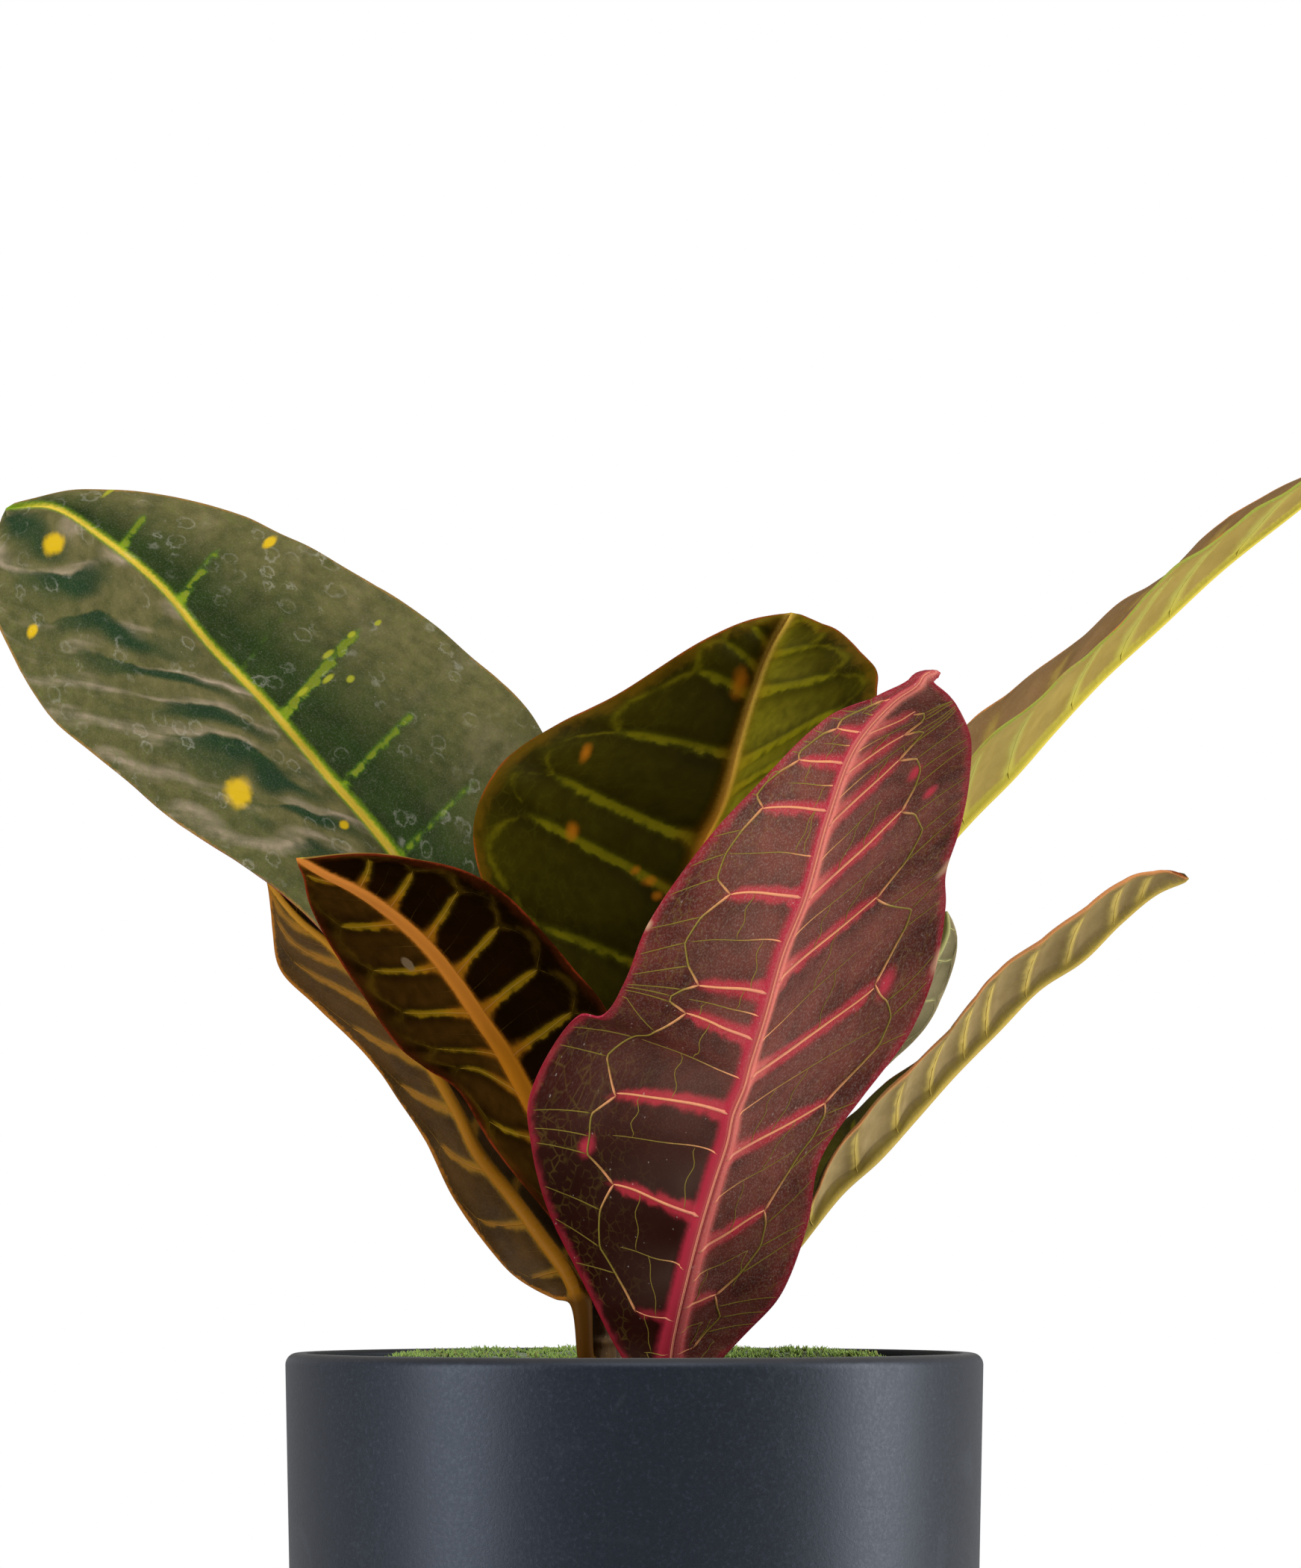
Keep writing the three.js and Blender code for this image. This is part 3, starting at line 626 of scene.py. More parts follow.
def moss_surface(along, across):
    """The pad's top and underside (..., 3) at shares along it and across it from front edge to rear wall.

    Its height follows a quarter ellipse near the front edge, and it drops towards both ends and the wall.
    """
    side = 2 * along - 1
    scallop = MOSS_SCALLOP * np.sin(np.pi * MOSS_SCALLOPS * side) * (1 - side**2)
    front_x = -MOSS_END_X * side
    front_y = MOSS_END_Y + (MOSS_FRONT_Y - MOSS_END_Y) * (1 - side**4) + scallop
    wall = inside_radius(SOIL_FRONT_LEVEL + SOIL_BANK_RISE) - MOSS_GAP
    end_angle = math.asin(MOSS_END_Y / wall)
    angle = end_angle + (np.pi - 2 * end_angle) * along
    x = front_x + (wall * np.cos(angle) - front_x) * across
    y = front_y + (wall * np.sin(angle) - front_y) * across
    ground = soil_level(x, y) + MOSS_SEAT
    drop = MOSS_WALL_DROP * across**6 + MOSS_END_DROP * smooth_step(MOSS_ENDS_FROM, MOSS_END_X, np.abs(x))
    height = MOSS_TOP - drop + lumps(x, y, MOSS_LUMP, MOSS_LUMP_SIZE) - ground
    crown = np.sqrt(1 - (1 - np.minimum(1, across / MOSS_CROWN_WITHIN)) ** 2)
    flat = np.stack([x, y, 0 * x], axis=-1)
    knobbly = MOSS_KNOB[0] * rough(flat, MOSS_KNOB[1]) * crown
    top = ground + MOSS_THINNEST + (height - MOSS_SUNK - MOSS_THINNEST) * crown + knobbly
    return np.stack([x, y, top], axis=-1), np.stack([x, y, ground], axis=-1)


def moss_rings():
    """Each ring is one crosswise cut through the pad: over the top from front to rear, and back below."""
    along, across = np.meshgrid(np.linspace(0, 1, 260), np.linspace(0, 1, 40) ** 1.4, indexing="ij")
    top, low = moss_surface(along, across)
    return np.concatenate([top, low[:, ::-1]], axis=1)


moss = ring_mesh("moss_cushion", moss_rings())

# %% Moss shoots
SHOOT_COUNT = 8500
SHOOT_LENGTH = 1.3
SHOOT_RADIUS = 0.24
SHOOT_LEVELS = np.array([0, 0.55, 1])
SHOOT_WIDTHS = np.array([0.7, 1, 0.15])
SHOOT_SUNK = 0.35


def shoot_points(count):
    """Spikes that lean at random: centre line = root + length * (share * up + share squared * lean)."""
    along, across = rng.random(count), rng.random(count) ** 0.75
    root, _ = moss_surface(along, across)
    length = SHOOT_LENGTH * rng.uniform(0.55, 1.15, count)
    lean = rng.normal(0, 0.35, (count, 3)) * [1, 1, 0]
    front = (1 - smooth_step(0, 0.3, across))[:, None]
    lean = lean + front * [0, -0.9, -0.35]
    share = SHOOT_LEVELS[None, :, None]
    up = np.array([0, 0, 1.0])
    centre = root[:, None] + length[:, None, None] * (share * up + share**2 * lean[:, None])
    centre[..., 2] -= SHOOT_SUNK
    turn = rng.uniform(0, 2 * np.pi, count)[:, None, None] + np.arange(3) * 2 * np.pi / 3
    width = SHOOT_RADIUS * SHOOT_WIDTHS[None, :, None]
    around = np.stack([width * np.cos(turn), width * np.sin(turn), 0 * width * turn], axis=3)
    return centre[:, :, None] + around


def shoot_faces(count):
    """Side quads between the three levels of each shoot, and a triangle on each end."""
    i, j = np.meshgrid(np.arange(2), np.arange(3), indexing="ij")
    k = (j + 1) % 3
    quads = np.stack([3 * i + j, 3 * i + k, 3 * i + 3 + k, 3 * i + 3 + j], axis=2).reshape(-1, 4)
    ends = np.array([[2, 1, 0], [6, 7, 8]])
    start = 9 * np.arange(count)[:, None, None]
    return (start + quads).reshape(-1, 4), (start + ends).reshape(-1, 3)


shoots = shoot_points(SHOOT_COUNT)
shoot_fields = {
    "height": np.tile(np.repeat(SHOOT_LEVELS, 3), SHOOT_COUNT),
    "tint": np.repeat(rng.random(SHOOT_COUNT), 9),
}
moss_shoots = make_mesh("moss_shoots", shoots.reshape(-1, 3), *shoot_faces(SHOOT_COUNT), shoot_fields)

# %% [markdown]
# Moss is brightest at its growing tips and brown where old shoots have died below. A shoot's tint and the
# height along it are attributes of the mesh, and broad noise makes some patches yellower.

# %% Cushion moss
MOSS_PATCH = 14.286
MOSS_GRIT = 0.769


def cushion_moss(name, shoots):
    """Brown green low down and fresh green at the shoots' tips, with yellower patches."""
    material, tree, shader = new_material(name, 0.85, 1.4, Sheen_Weight=0.25, Sheen_Roughness=0.5)
    place = add(tree, "ShaderNodeTexCoord", output="Object")
    patch = add(tree, NOISE, {"Vector": place, "Scale": cells_of(MOSS_PATCH), "Detail": 4})
    grit = add(tree, NOISE, {"Vector": place, "Scale": cells_of(MOSS_GRIT), "Detail": 3})
    colour = coats(tree, paint("#4b6a26"), [(paint("#7d9a3c"), patch)])
    if shoots:
        tint = add(tree, ATTRIBUTE, attribute_name="tint", output="Fac")
        height = add(tree, ATTRIBUTE, attribute_name="height", output="Fac")
        low = add(tree, RANGE, {0: height, 1: 0.6, 2: 0.0, 4: 0.8})
        old = add(tree, RANGE, {0: tint, 1: 0.86, 2: 0.95, 4: 0.7})
        layers = [(paint("#93b04c"), tint), (paint("#3b4a1c"), low), (paint("#7c6a38"), old)]
    else:
        layers = [(paint("#33411a"), grit)]
    finish_skin(tree, shader, coats(tree, colour, layers), grit, 0.6, 0.4)
    return material


finish_piece(moss, cushion_moss("moss_turf", False), "moss", "moss")
finish_piece(moss_shoots, cushion_moss("moss_tips", True), "moss")

# %% [markdown]
# ## Stem and bud
#
# The young stem is a slightly bent tube. Every fallen leaf has left a scar: a low ridge part of the way
# round, with a dent above it. Fine lengthwise folds of drying bark lie between the scars. At the top sit
# young leaves still folded round each other, as slim flattened spindles.

# %% Paths
# The stem's middle and its radius at each of seven heights, from the soil to the bud
STEM_X = [-6.0, -5.6, -5.4, -4.7, -3.5, -2.2, -1.4]
STEM_Y = [1.0, 1.0, 1.0, 1.5, 2.0, 2.4, 2.6]
STEM_Z = [86, 104, 118, 131, 142, 152, 161]
STEM_AXIS = np.array([STEM_X, STEM_Y, STEM_Z]).T
STEM_RADII = np.array([4.3, 4.4, 4.3, 4.1, 3.8, 3.4, 2.4])
print("the stem stands", STEM_Z[-1] - POT_HEIGHT, "mm above the rim")


def unit(vectors):
    """Each vector divided by its length."""
    return vectors / np.maximum(np.linalg.norm(vectors, axis=-1, keepdims=True), 1e-9)


def curve_through(points, shares):
    """A smooth curve through points, at shares 0 to 1 of the way with the points evenly spread.

    Between two points it is the cubic with given slopes at both. A slope blends the chords on both sides,
    each weighed by the square root of its length, which keeps the curve from swinging out at close points.
    """
    points = np.asarray(points, float)
    first, last = 2 * points[:1] - points[1:2], 2 * points[-1:] - points[-2:-1]
    padded = np.concatenate([first, points, last])
    chords = np.sqrt(np.linalg.norm(np.diff(padded, axis=0), axis=1))
    place = np.asarray(shares) * (len(points) - 1)
    i = np.clip(np.floor(place).astype(int), 0, len(points) - 2)
    w = (place - i)[:, None]
    a, b, c, d = (padded[i + k] for k in range(4))
    before, here, after = (chords[i + k][:, None] for k in range(3))
    slope_b = ((b - a) / before - (c - a) / (before + here) + (c - b) / here) * here
    slope_c = ((c - b) / here - (d - b) / (here + after) + (d - c) / after) * here
    square = 3 * (c - b) - 2 * slope_b - slope_c
    cube = 2 * (b - c) + slope_b + slope_c
    return b + slope_b * w + square * w**2 + cube * w**3


# %% Stem shape
STEM_RINGS = 170
STEM_SIDES = 56
SCAR_HEIGHTS = np.array([109, 114, 119.5, 123.5, 128, 133.5, 138, 144, 149])
SCAR_TURN = 2.4
# Height and size of the folds of the bark and of the creases between them
BARK_FOLD = (0.18, 1.0)
BARK_CREASE = (0.08, 0.45)


def stem_rings():
    """Level rings up the axis. Radius plus bark folds, and at each scar a ridge over a third of the turn.

    A ridge is 0.5 mm times a bell over the height (0.7 mm wide) times a bell over the turn round the stem.
    """
    z = np.linspace(STEM_AXIS[0, 2], STEM_AXIS[-1, 2], STEM_RINGS)
    centre = np.stack([np.interp(z, STEM_AXIS[:, 2], STEM_AXIS[:, k]) for k in range(3)], axis=1)
    angle = np.linspace(0, 2 * np.pi, STEM_SIDES, endpoint=False)
    radius = np.interp(z, STEM_AXIS[:, 2], STEM_RADII)[:, None] + 0 * angle
    around = np.stack([np.cos(angle), np.sin(angle)], axis=1)
    bark = np.broadcast_arrays(6 * around[None, :, 0], 6 * around[None, :, 1], z[:, None] / 5)
    bark = np.stack(bark, axis=2)
    for height, size in (BARK_FOLD, BARK_CREASE):
        radius = radius + height * rough(bark, size)
    for count, height in enumerate(SCAR_HEIGHTS):
        turn = np.cos(angle - SCAR_TURN * count)
        level = z[:, None] - height - 0.6 * turn
        across = smooth_step(0.0, 0.8, turn)
        ridge = 0.5 * np.exp(-((level / 0.7) ** 2)) - 0.3 * np.exp(-(((level - 1.3) / 0.8) ** 2))
        radius = radius + ridge * across
    taper = np.sqrt(np.clip((STEM_AXIS[-1, 2] + 0.05 - z) / 1.2, 0, 1))[:, None]
    flat = np.stack([np.cos(angle), np.sin(angle), 0 * angle], axis=1)
    return centre[:, None] + (radius * np.maximum(taper, 0.3))[..., None] * flat


stem = ring_mesh("stem_bark", stem_rings())

# %% Bud of folded young leaves
# Each young leaf: its tip, half width and the way that it is turned, in radians
BUD_LEAVES = [
    ((0.6, 0.4, 183), 2.4, 0.3),
    ((-3.4, 1.6, 176), 1.9, 2.6),
    ((1.2, 4.2, 172), 1.5, 4.6),
]
BUD_WIDTHS = [0.7, 1, 0.95, 0.7, 0.36, 0.04]
BUD_FLATNESS = 0.55
BUD_ROOT_DROP = 3
BUD_RINGS = 70
BUD_SIDES = 40


def bud_leaf_rings(tip, half, towards):
    """A flattened spindle from the stem's top to the tip, with a rolled fold wound slowly round it.

    Radius = half width times the width's share, and the fold cuts in by a tenth along a slow spiral.
    """
    share = np.linspace(0, 1, BUD_RINGS)
    root = STEM_AXIS[-1] - [0, 0, BUD_ROOT_DROP]
    sway = np.sin(np.pi * share)[:, None] * [0.5 * math.cos(towards), 0.5 * math.sin(towards), 0]
    centre = root + (np.array(tip) - root) * share[:, None] + sway
    widths = np.interp(share, np.linspace(0, 1, len(BUD_WIDTHS)), BUD_WIDTHS)
    widths = np.convolve(np.pad(widths, 4, mode="edge"), np.ones(9) / 9, mode="valid")
    widths[-6:] *= np.linspace(1, 0.15, 6)
    angle = np.linspace(0, 2 * np.pi, BUD_SIDES, endpoint=False)
    fold = np.cos(angle - 2.5 * share[:, None] - 1.2)
    radius = half * widths[:, None] * (1 - 0.22 * smooth_step(0.86, 1, fold))
    x, y = radius * np.cos(angle), BUD_FLATNESS * radius * np.sin(angle)
    turned_x = x * math.cos(towards) - y * math.sin(towards)
    turned_y = x * math.sin(towards) + y * math.cos(towards)
    return centre[:, None] + np.stack([turned_x, turned_y, 0 * x], axis=2)


bud_sets = [bud_leaf_rings(*leaf) for leaf in BUD_LEAVES]
bud_points = [ring_points(rings) for rings in bud_sets]
bud_starts = np.cumsum([0] + [len(points) for points in bud_points[:-1]])
bud_faces = [ring_faces(*rings.shape[:2]) for rings in bud_sets]
bud_quads = np.concatenate([quads + start for (quads, _), start in zip(bud_faces, bud_starts)])
bud_ends = np.concatenate([ends + start for (_, ends), start in zip(bud_faces, bud_starts)])
bud_share = np.concatenate([np.clip((points[:, 2] - 158) / 20, 0, 1) for points in bud_points])
bud = make_mesh("bud_young_leaves", np.concatenate(bud_points), bud_quads, bud_ends, {"share": bud_share})

# %% [markdown]
# Young croton bark is olive brown, corky in the dents and paler on the scars. New leaves open yellow green
# with a red flush at the tip and have a stronger gloss than old ones.

# %% Young bark and new leaf
# The streaks of the bark and the veins of the new leaf are this long, and a fraction of it across
BARK_STREAK = 9.091
CORK_DOT = 1.613
NEW_VEIN = 4.167


def young_bark():
    """Olive brown with darker lengthwise streaks, stretched eight to one, and pale corky dots."""
    material, tree, shader = new_material("young_croton_bark", 0.7, 1.45)
    place = add(tree, "ShaderNodeTexCoord", output="Object")
    stretch = add(tree, "ShaderNodeMapping", {"Vector": place, "Scale": (8, 8, 1)})
    streak = {"Vector": stretch, "Scale": cells_of(BARK_STREAK), "Detail": 5, "Roughness": 0.6}
    streak = add(tree, NOISE, streak)
    dots = add(tree, VORONOI, {"Vector": place, "Scale": cells_of(CORK_DOT)}, "Distance")
    cork = add(tree, RANGE, {0: dots, 1: 0.22, 2: 0.12, 4: 0.7})
    streaked = add(tree, RANGE, {0: streak, 1: 0.35, 2: 0.65})
    colour = coats(tree, paint("#3c2a12"), [(paint("#6a4a20"), streaked)])
    finish_skin(tree, shader, coats(tree, colour, [(paint("#86704a"), cork)]), streak, 0.6, 0.4)
    return material


def new_leaf():
    """Yellow green at the root, flushed red towards the tip, with fine lengthwise veins."""
    material, tree, shader = new_material("new_croton_leaf", 0.38, 1.45)
    place = add(tree, "ShaderNodeTexCoord", output="Object")
    stretch = add(tree, "ShaderNodeMapping", {"Vector": place, "Scale": (6, 6, 1)})
    veins = add(tree, NOISE, {"Vector": stretch, "Scale": cells_of(NEW_VEIN), "Detail": 3})
    share = add(tree, ATTRIBUTE, attribute_name="share", output="Fac")
    flush = add(tree, RANGE, {0: share, 1: 0.35, 2: 1.1, 4: 0.85})
    colour = coats(tree, paint("#6d7a22"), [(paint("#a3a33a"), veins)])
    finish_skin(tree, shader, coats(tree, colour, [(paint("#8a3a2c"), flush)]), veins, 0.5, 0.3)
    return material


finish_piece(stem, young_bark(), "stem", "stem")
finish_piece(bud, new_leaf(), "stem", "stem")

# %% [markdown]
# ## Leaves
#
# A croton leaf is drawn here by three curves: its midrib and its two margins. Each row of points runs over
# the blade along its side veins, from margin to margin, and the rows go from the stalk to the tip. A smooth
# curve through each column of points is a guide, and the blade is stretched between them: at a share t along
# and a share a across, -1 at one margin and 1 at the other, a point lies on the straight line from midrib to
# margin, lifted by an arch and by waves. That keeps each leaf's own outline, lobes and twist, and lets
# everything else follow from formulas.

# %% The rows of each leaf
# A row is three points in mm, each as x y z: left margin, midrib and right margin. A line has a row or two.
# underside says whether the drawn side is the underside, where the midrib stands out. leaves is the height
# on the stem where the stalk begins, stalk its points up to the blade, and level how far it runs level.
FACING = 1
AWAY = -1


def groups(text):
    """Numbers from text: groups are set apart by commas, and the numbers in a group by spaces."""
    return [[float(word) for word in group.split()] for group in text.split(",") if group.strip()]


LEAVES = {
    "leaf_front_red": dict(
        underside=FACING, leaves=104, stalk=[[2, -8, 107]], rows=groups("""
    0 -12 113, 6 -13 113, 12 -12 113,  -4 -13 120, 7 -17 120, 21 -14 122,
    -10 -15 132, 9 -22 129, 27 -16 129,  -16 -18 145, 11.8 -27 140, 32 -19 142,
    -19 -21 157, 14.8 -31 150, 34 -22 153,  -19.5 -23 164, 17 -34 157, 42 -22 165,
    -15 -24 174, 18 -36 162, 49.5 -22 175,  -10 -28 180, 20 -38 167, 53 -23 182,
    -6 -33 180, 21 -39 171, 55 -24 188,  -2 -34 186, 23.8 -42 180, 57 -28 200,
    3 -36 197, 27 -45 191, 57 -33 206,  13 -39 211, 31 -48 201, 60 -37 216,
    25 -43 224, 35 -51 215, 61 -42 224,  36 -48 234, 40 -53 228, 61 -46 230,
    44 -51 237, 47 -54 236, 58.5 -50 235.2,  49 -52 239.4, 51.2 -53.8 238.8, 56.6 -51.6 237.6,
    50.8 -52.2 241.2, 52.2 -53.2 240.3, 54.1 -52.8 239.6,
    53 -51.4 241.9, 53.8 -52.2 241.1, 54.5 -52.2 240.2,  55 -50.6 241.6, 55.3 -51 241.2, 55.4 -51.2 240.8,
    """),
    ),
    "leaf_left_green": dict(
        underside=AWAY, leaves=147, stalk=[], rows=groups("""
    -11 8 152, -9 9 154, -7 10 155,  -19 7 161, -14 11 166, -7 13 173,
    -29 5 170, -21 13 177, -7 16 191,  -41 4 179, -30 15 190, -9 19 210,
    -53 4 191, -39 18 202.5, -14 21 227,  -63 5 201, -49.3 21 216.2, -20 24 239,
    -74 8 209, -59.5 24 228, -31 27 250,  -87 11 218, -70.5 27 241, -45 30 261,
    -99 14 228, -81.2 30 252.2, -62 33 271,  -110 18 237, -91.6 33 264.6, -76 36 278,
    -118 23 249, -103 35 274, -94 38 282.5,  -123.7 29 263, -112 36 279.5, -108 38 283,
    -122 35 278, -121 36 279.5, -120 36 280.5,
    """),
    ),
    "leaf_back_olive": dict(
        underside=AWAY, leaves=151, stalk=[], rows=groups("""
    0 9 157, 2 9.5 157, 4 9 158,  -4 9 165, 3 11 166, 10 9 170,
    -9 9 175, 3 13 176, 20 8 184,  -16 9 186, 5 15 187, 29 8 198,
    -25 9 198, 8 18 198, 38 10 212,  -30 10 211, 11 21 207, 44 13 225,
    -30 11 219, 13 23 214, 46 15 236,  -25 13 229, 16 25 220, 46 18 242,
    -15 16 236.2, 18 27 226, 46 21 247,  -3.5 20 242.2, 20 29 234, 43 24 251,
    12.5 25 252.8, 23 31 244, 39 27 255,  21 29 257, 26 32 252, 35 30 257,
    29 32 259, 30 32 259, 31 32 259,
    """),
    ),
    "leaf_left_dark": dict(
        underside=FACING, leaves=130, stalk=[], rows=groups("""
    -9 -6 136, -7 -6.5 137, -5 -6 138,  -12 -6.5 139, -9 -9 146, -2 -5 150,
    -18 -6 146, -14 -11 156, -1 -4 163,  -26 -6 156, -19 -13 164, -2 -4 174,
    -33 -7 167, -24.3 -15 173.7, -6 -4 183,  -39 -9 171, -27.9 -17 179, -11 -6 189,
    -44 -11 175, -32.8 -19 186.2, -17 -9 196,  -50 -14 184, -38.2 -21 192.9, -24 -12 203,
    -56 -17 193, -45 -23 199, -31 -16 207,  -60 -21 201, -51 -25 203, -40 -20 209,
    -61 -24 206, -57 -26 206, -49 -24 210,  -62 -26 208, -62 -26 209, -61 -26 209,
    """),
    ),
    "leaf_left_low": dict(
        underside=FACING, leaves=116.5, stalk=[], level=0.5, rows=groups("""
    -12 -4 127, -10 -4.5 127, -8 -4.5 128,  -15 0 128, -12 -4 132, -9.5 -1.5 133,
    -21 3 131, -17 -1 139, -11 5 143,  -27 6 137, -23 2 147.2, -15 10 153,
    -34 7 147, -29.3 3 155.2, -19 12 163,  -39 8 157, -33 4 162.6, -24 14 171,
    -45 9 166, -38 5 171, -29 16 179,  -52 11 175, -45 7 179, -35 18 188,
    -60 13 183, -51 9 187, -43 20 196,  -67 15 190, -57 11 194, -50 21 203,
    -68.5 16 198, -63 13 199, -57 20 209,  -69.5 16 207, -68 15 205, -64 18 211,
    -71 16 211, -71 16 211, -70 16 212,
    """),
    ),
    "leaf_right_long": dict(
        underside=AWAY, leaves=140, stalk=[[5, 2, 142]], rows=groups("""
    9 3 149, 10 2 147, 11 1 149,  18 9 168, 19 3 160, 22 -4 165,
    30 15 191, 31 4 176.5, 35 -8 186,  42 20 214, 44 5 195.5, 49 -10 208,
    53 22 228, 55 6 209.5, 59 -10 223,  64 23 236.7, 63 7 218.5, 67 -9 232,
    74 24 244.7, 71 8 226.5, 76 -8 240,  84 24 252.3, 79 9 235.5, 84 -6 248,
    95 23 261.5, 88 10 245, 94 -4 257,  105 22 268.4, 99 11 255, 104 -1 266,
    115 20 276.9, 111 12 266, 114 3 274,  127 18 283.8, 125 13 277, 126 7 282,
    135 16 287.4, 135 14 285, 134 11 287,  141 14 290, 141 14 289, 141 13 289,
    """),
    ),
    "leaf_right_low": dict(
        underside=AWAY, leaves=113, stalk=[[6, 0, 115]], rows=groups("""
    12 0 120, 13 -1 119, 14 -2 120,  19 5 132, 20 -1 127, 22 -6 131,
    27 8 146, 29 -1 137, 31 -9 142,  34 9 157, 38 -2 148.2, 37 -11 155,
    42 9 164, 45 -3 154.5, 45 -12 163,  51 9 170, 52 -4 162.2, 53 -13 172,
    58 8 176, 59 -5 170, 59 -14 179,  65 6 182, 67 -6 178, 66 -15 187,
    73 4 190, 75 -7 186, 75 -15 193.3,  82 2 198, 83 -8 191.2, 84 -15 200,
    91 -2 203, 90 -9 198, 91 -14 205,  97 -6 206, 97 -10 203.6, 98 -12 207,
    103 -9 207, 103 -10 206, 103 -11 206,
    """),
    ),
    "leaf_right_small": dict(
        underside=FACING, leaves=131, stalk=[[5, 2.5, 133]], rows=groups("""
    9 3 138, 10 3 137, 11 3 136,  13 9 147, 17 6 144, 20 8 141,
    21 13 157, 25 9 153, 29 12 150,  30 17 169, 34 12 164, 37 15 161,
    38 19 179, 42 14 173, 47 18 171,  47 20 189, 50 15 183, 55 19 179,
    53 20 196, 56 16 191, 59 19 187,  57 18 199, 59 16 197, 61 17 195,
    58 16 201, 59 16 201, 60 16 200,
    """),
    ),
    "leaf_rear_left": dict(
        underside=AWAY, leaves=126, stalk=[], rows=groups("""
    -13 11 130, -11 12 131, -9 12 132,  -21 15 140, -17 19 143, -11 20 147,
    -32 22 151, -24 28 157, -14 29 165,  -41 30 164, -31 37 172, -19 38 182,
    -47 38 179, -37 44 186, -26 45 196,  -50 45 192, -43 49 197, -36 50 204,
    -52 50 201, -49 51 204, -46 52 207,  -53 53 209, -53 53 210, -52 53 210,
    """),
    ),
    "leaf_rear_right": dict(
        underside=AWAY, leaves=136, stalk=[], rows=groups("""
    2 13 141, 4 12.5 141, 6 12 140,  4 23 155, 10 22 152, 16 19 149,
    6 35 172, 17 33 166, 27 29 159,  12 46 188, 24 44 181, 36 39 172,
    21 54 203, 31 52 195, 42 47 186,  31 60 213, 38 58 207, 46 54 199,
    40 63 218, 43 62 215, 47 60 211,  46 65 221, 47 65 221, 47 64 220,
    """),
    ),
}
print({name: len(leaf["rows"]) // 3 for name, leaf in LEAVES.items()}, "rows")

# %% [markdown]
# ### Veins
#
# Side veins leave the midrib at an angle and lean towards the tip. Each is given by the share along the
# blade where it leaves the midrib and the share where it would reach the margin. Numbering them 1, 2, 3 and
# so on gives a height field over the leaf, the phase: a whole number on each vein, rising evenly between
# them. One field then serves everything that follows the veins, such as the swell of the panels.
#
# No vein reaches the margin. Part of the way out it forks, and its branches bow round to meet those of the
# next vein, so that a chain of loops runs along the leaf.

# %% Veins seen on the leaves
# Left half | right half of a leaf, its veins from stalk to tip: the share on the midrib, the share on the
# margin, and where they could be seen the vein's strength and the share of the half's width where it forks
USUAL_VEIN = (0.85, 0.8)
VEINS = {
    "leaf_front_red": """
    .083 .088 .5 .5, .184 .203 1 .55, .331 .273 1 .58, .472 .483 .9 .48, .518 .5 1 .48,
    .609 .563 1 .54, .671 .637 .9 .76, .706 .676 .9 .78, .734 .706 .8 .61, .775 .767 .5 .4
    |
    .042 .058 .4 .3, .098 .134 .8 .33, .151 .209 1 .56, .25 .298 1 .7, .406 .49 1 .67,
    .528 .59 1 .57, .607 .686 1 .55, .66 .77 .9 .43, .698 .79 .8 .4, .733 .805 .7 .4
    """,
    "leaf_left_green": """
    .08 .2 .5 .6, .16 .36 .8 .3, .24 .48 .6 .6, .32 .58 .85 .3, .404 .68 .6 .6, .488 .76 .6 .6,
    .56 .82 .6 .6, .612 .87 .6 .6, .698 .93 .5 .6, .803 .975 .5 .6
    |
    .07 .07 .5 .6, .14 .14 .6 .6, .22 .22 .7 .6, .3 .31 .8 .6, .385 .4 .9 .6, .475 .5 1 .6,
    .563 .595 1.3 .7, .627 .65 .7 .6, .721 .745 1.1 .6, .804 .825 1.1 .6, .87 .88 .7 .5,
    .941 .94 .5 .4
    """,
    "leaf_back_olive": """
    .09 .12, .17 .24, .26 .35, .378 .55 1 .75, .501 .6 1 .75, .718 .67 .9 .7, .821 .8 1 .7,
    .867 .86, .916 .925
    |
    .12 .1, .22 .19, .32 .27, .42 .35, .52 .43 .9 .7, .62 .52 .9 .7, .693 .585 1 .75,
    .829 .702 1 .75, .903 .809 .9 .7, .961 .963
    """,
    "leaf_left_dark": """
    .1 .18, .2 .33, .293 .45 .9 .7, .355 .528 .7 .7, .48 .624 1 .7, .59 .69 .9 .7, .7 .778 1 .7,
    .87 .92
    |
    .07 .08, .15 .17, .25 .27, .349 .38 1 .72, .473 .5 1 .72, .559 .61 1 .7, .645 .717 .9 .7,
    .735 .819 .9 .7, .817 .913
    """,
    "leaf_left_low": """
    .1 .17, .2 .31, .3 .45 1 .7, .42 .54 1 .75, .51 .656 1 .75, .6 .833 .9 .7, .7 .89, .8 .94,
    .9 .97 .6 .5
    |
    .12 .15, .25 .31, .37 .44, .5 .58, .61 .7, .73 .81, .85 .92
    """,
    "leaf_right_long": """
    .1 .13, .2 .23, .3 .33, .41 .44, .52 .55, .63 .66, .74 .77, .86 .88
    |
    .1 .11, .2 .21, .29 .3, .37 .38, .452 .46, .565 .596, .639 .694, .702 .759, .782 .86, .87 .92
    """,
    "leaf_right_low": """
    .11 .12, .2 .22, .3 .33, .42 .44, .54 .57, .66 .7, .78 .82, .9 .93
    |
    .11 .12, .2 .21, .29 .3, .378 .396, .451 .494, .524 .552, .567 .599, .643 .674, .72 .754,
    .822 .834, .88 .9
    """,
}
VEINS = {name: [groups(half) for half in text.split("|")] for name, text in VEINS.items()}
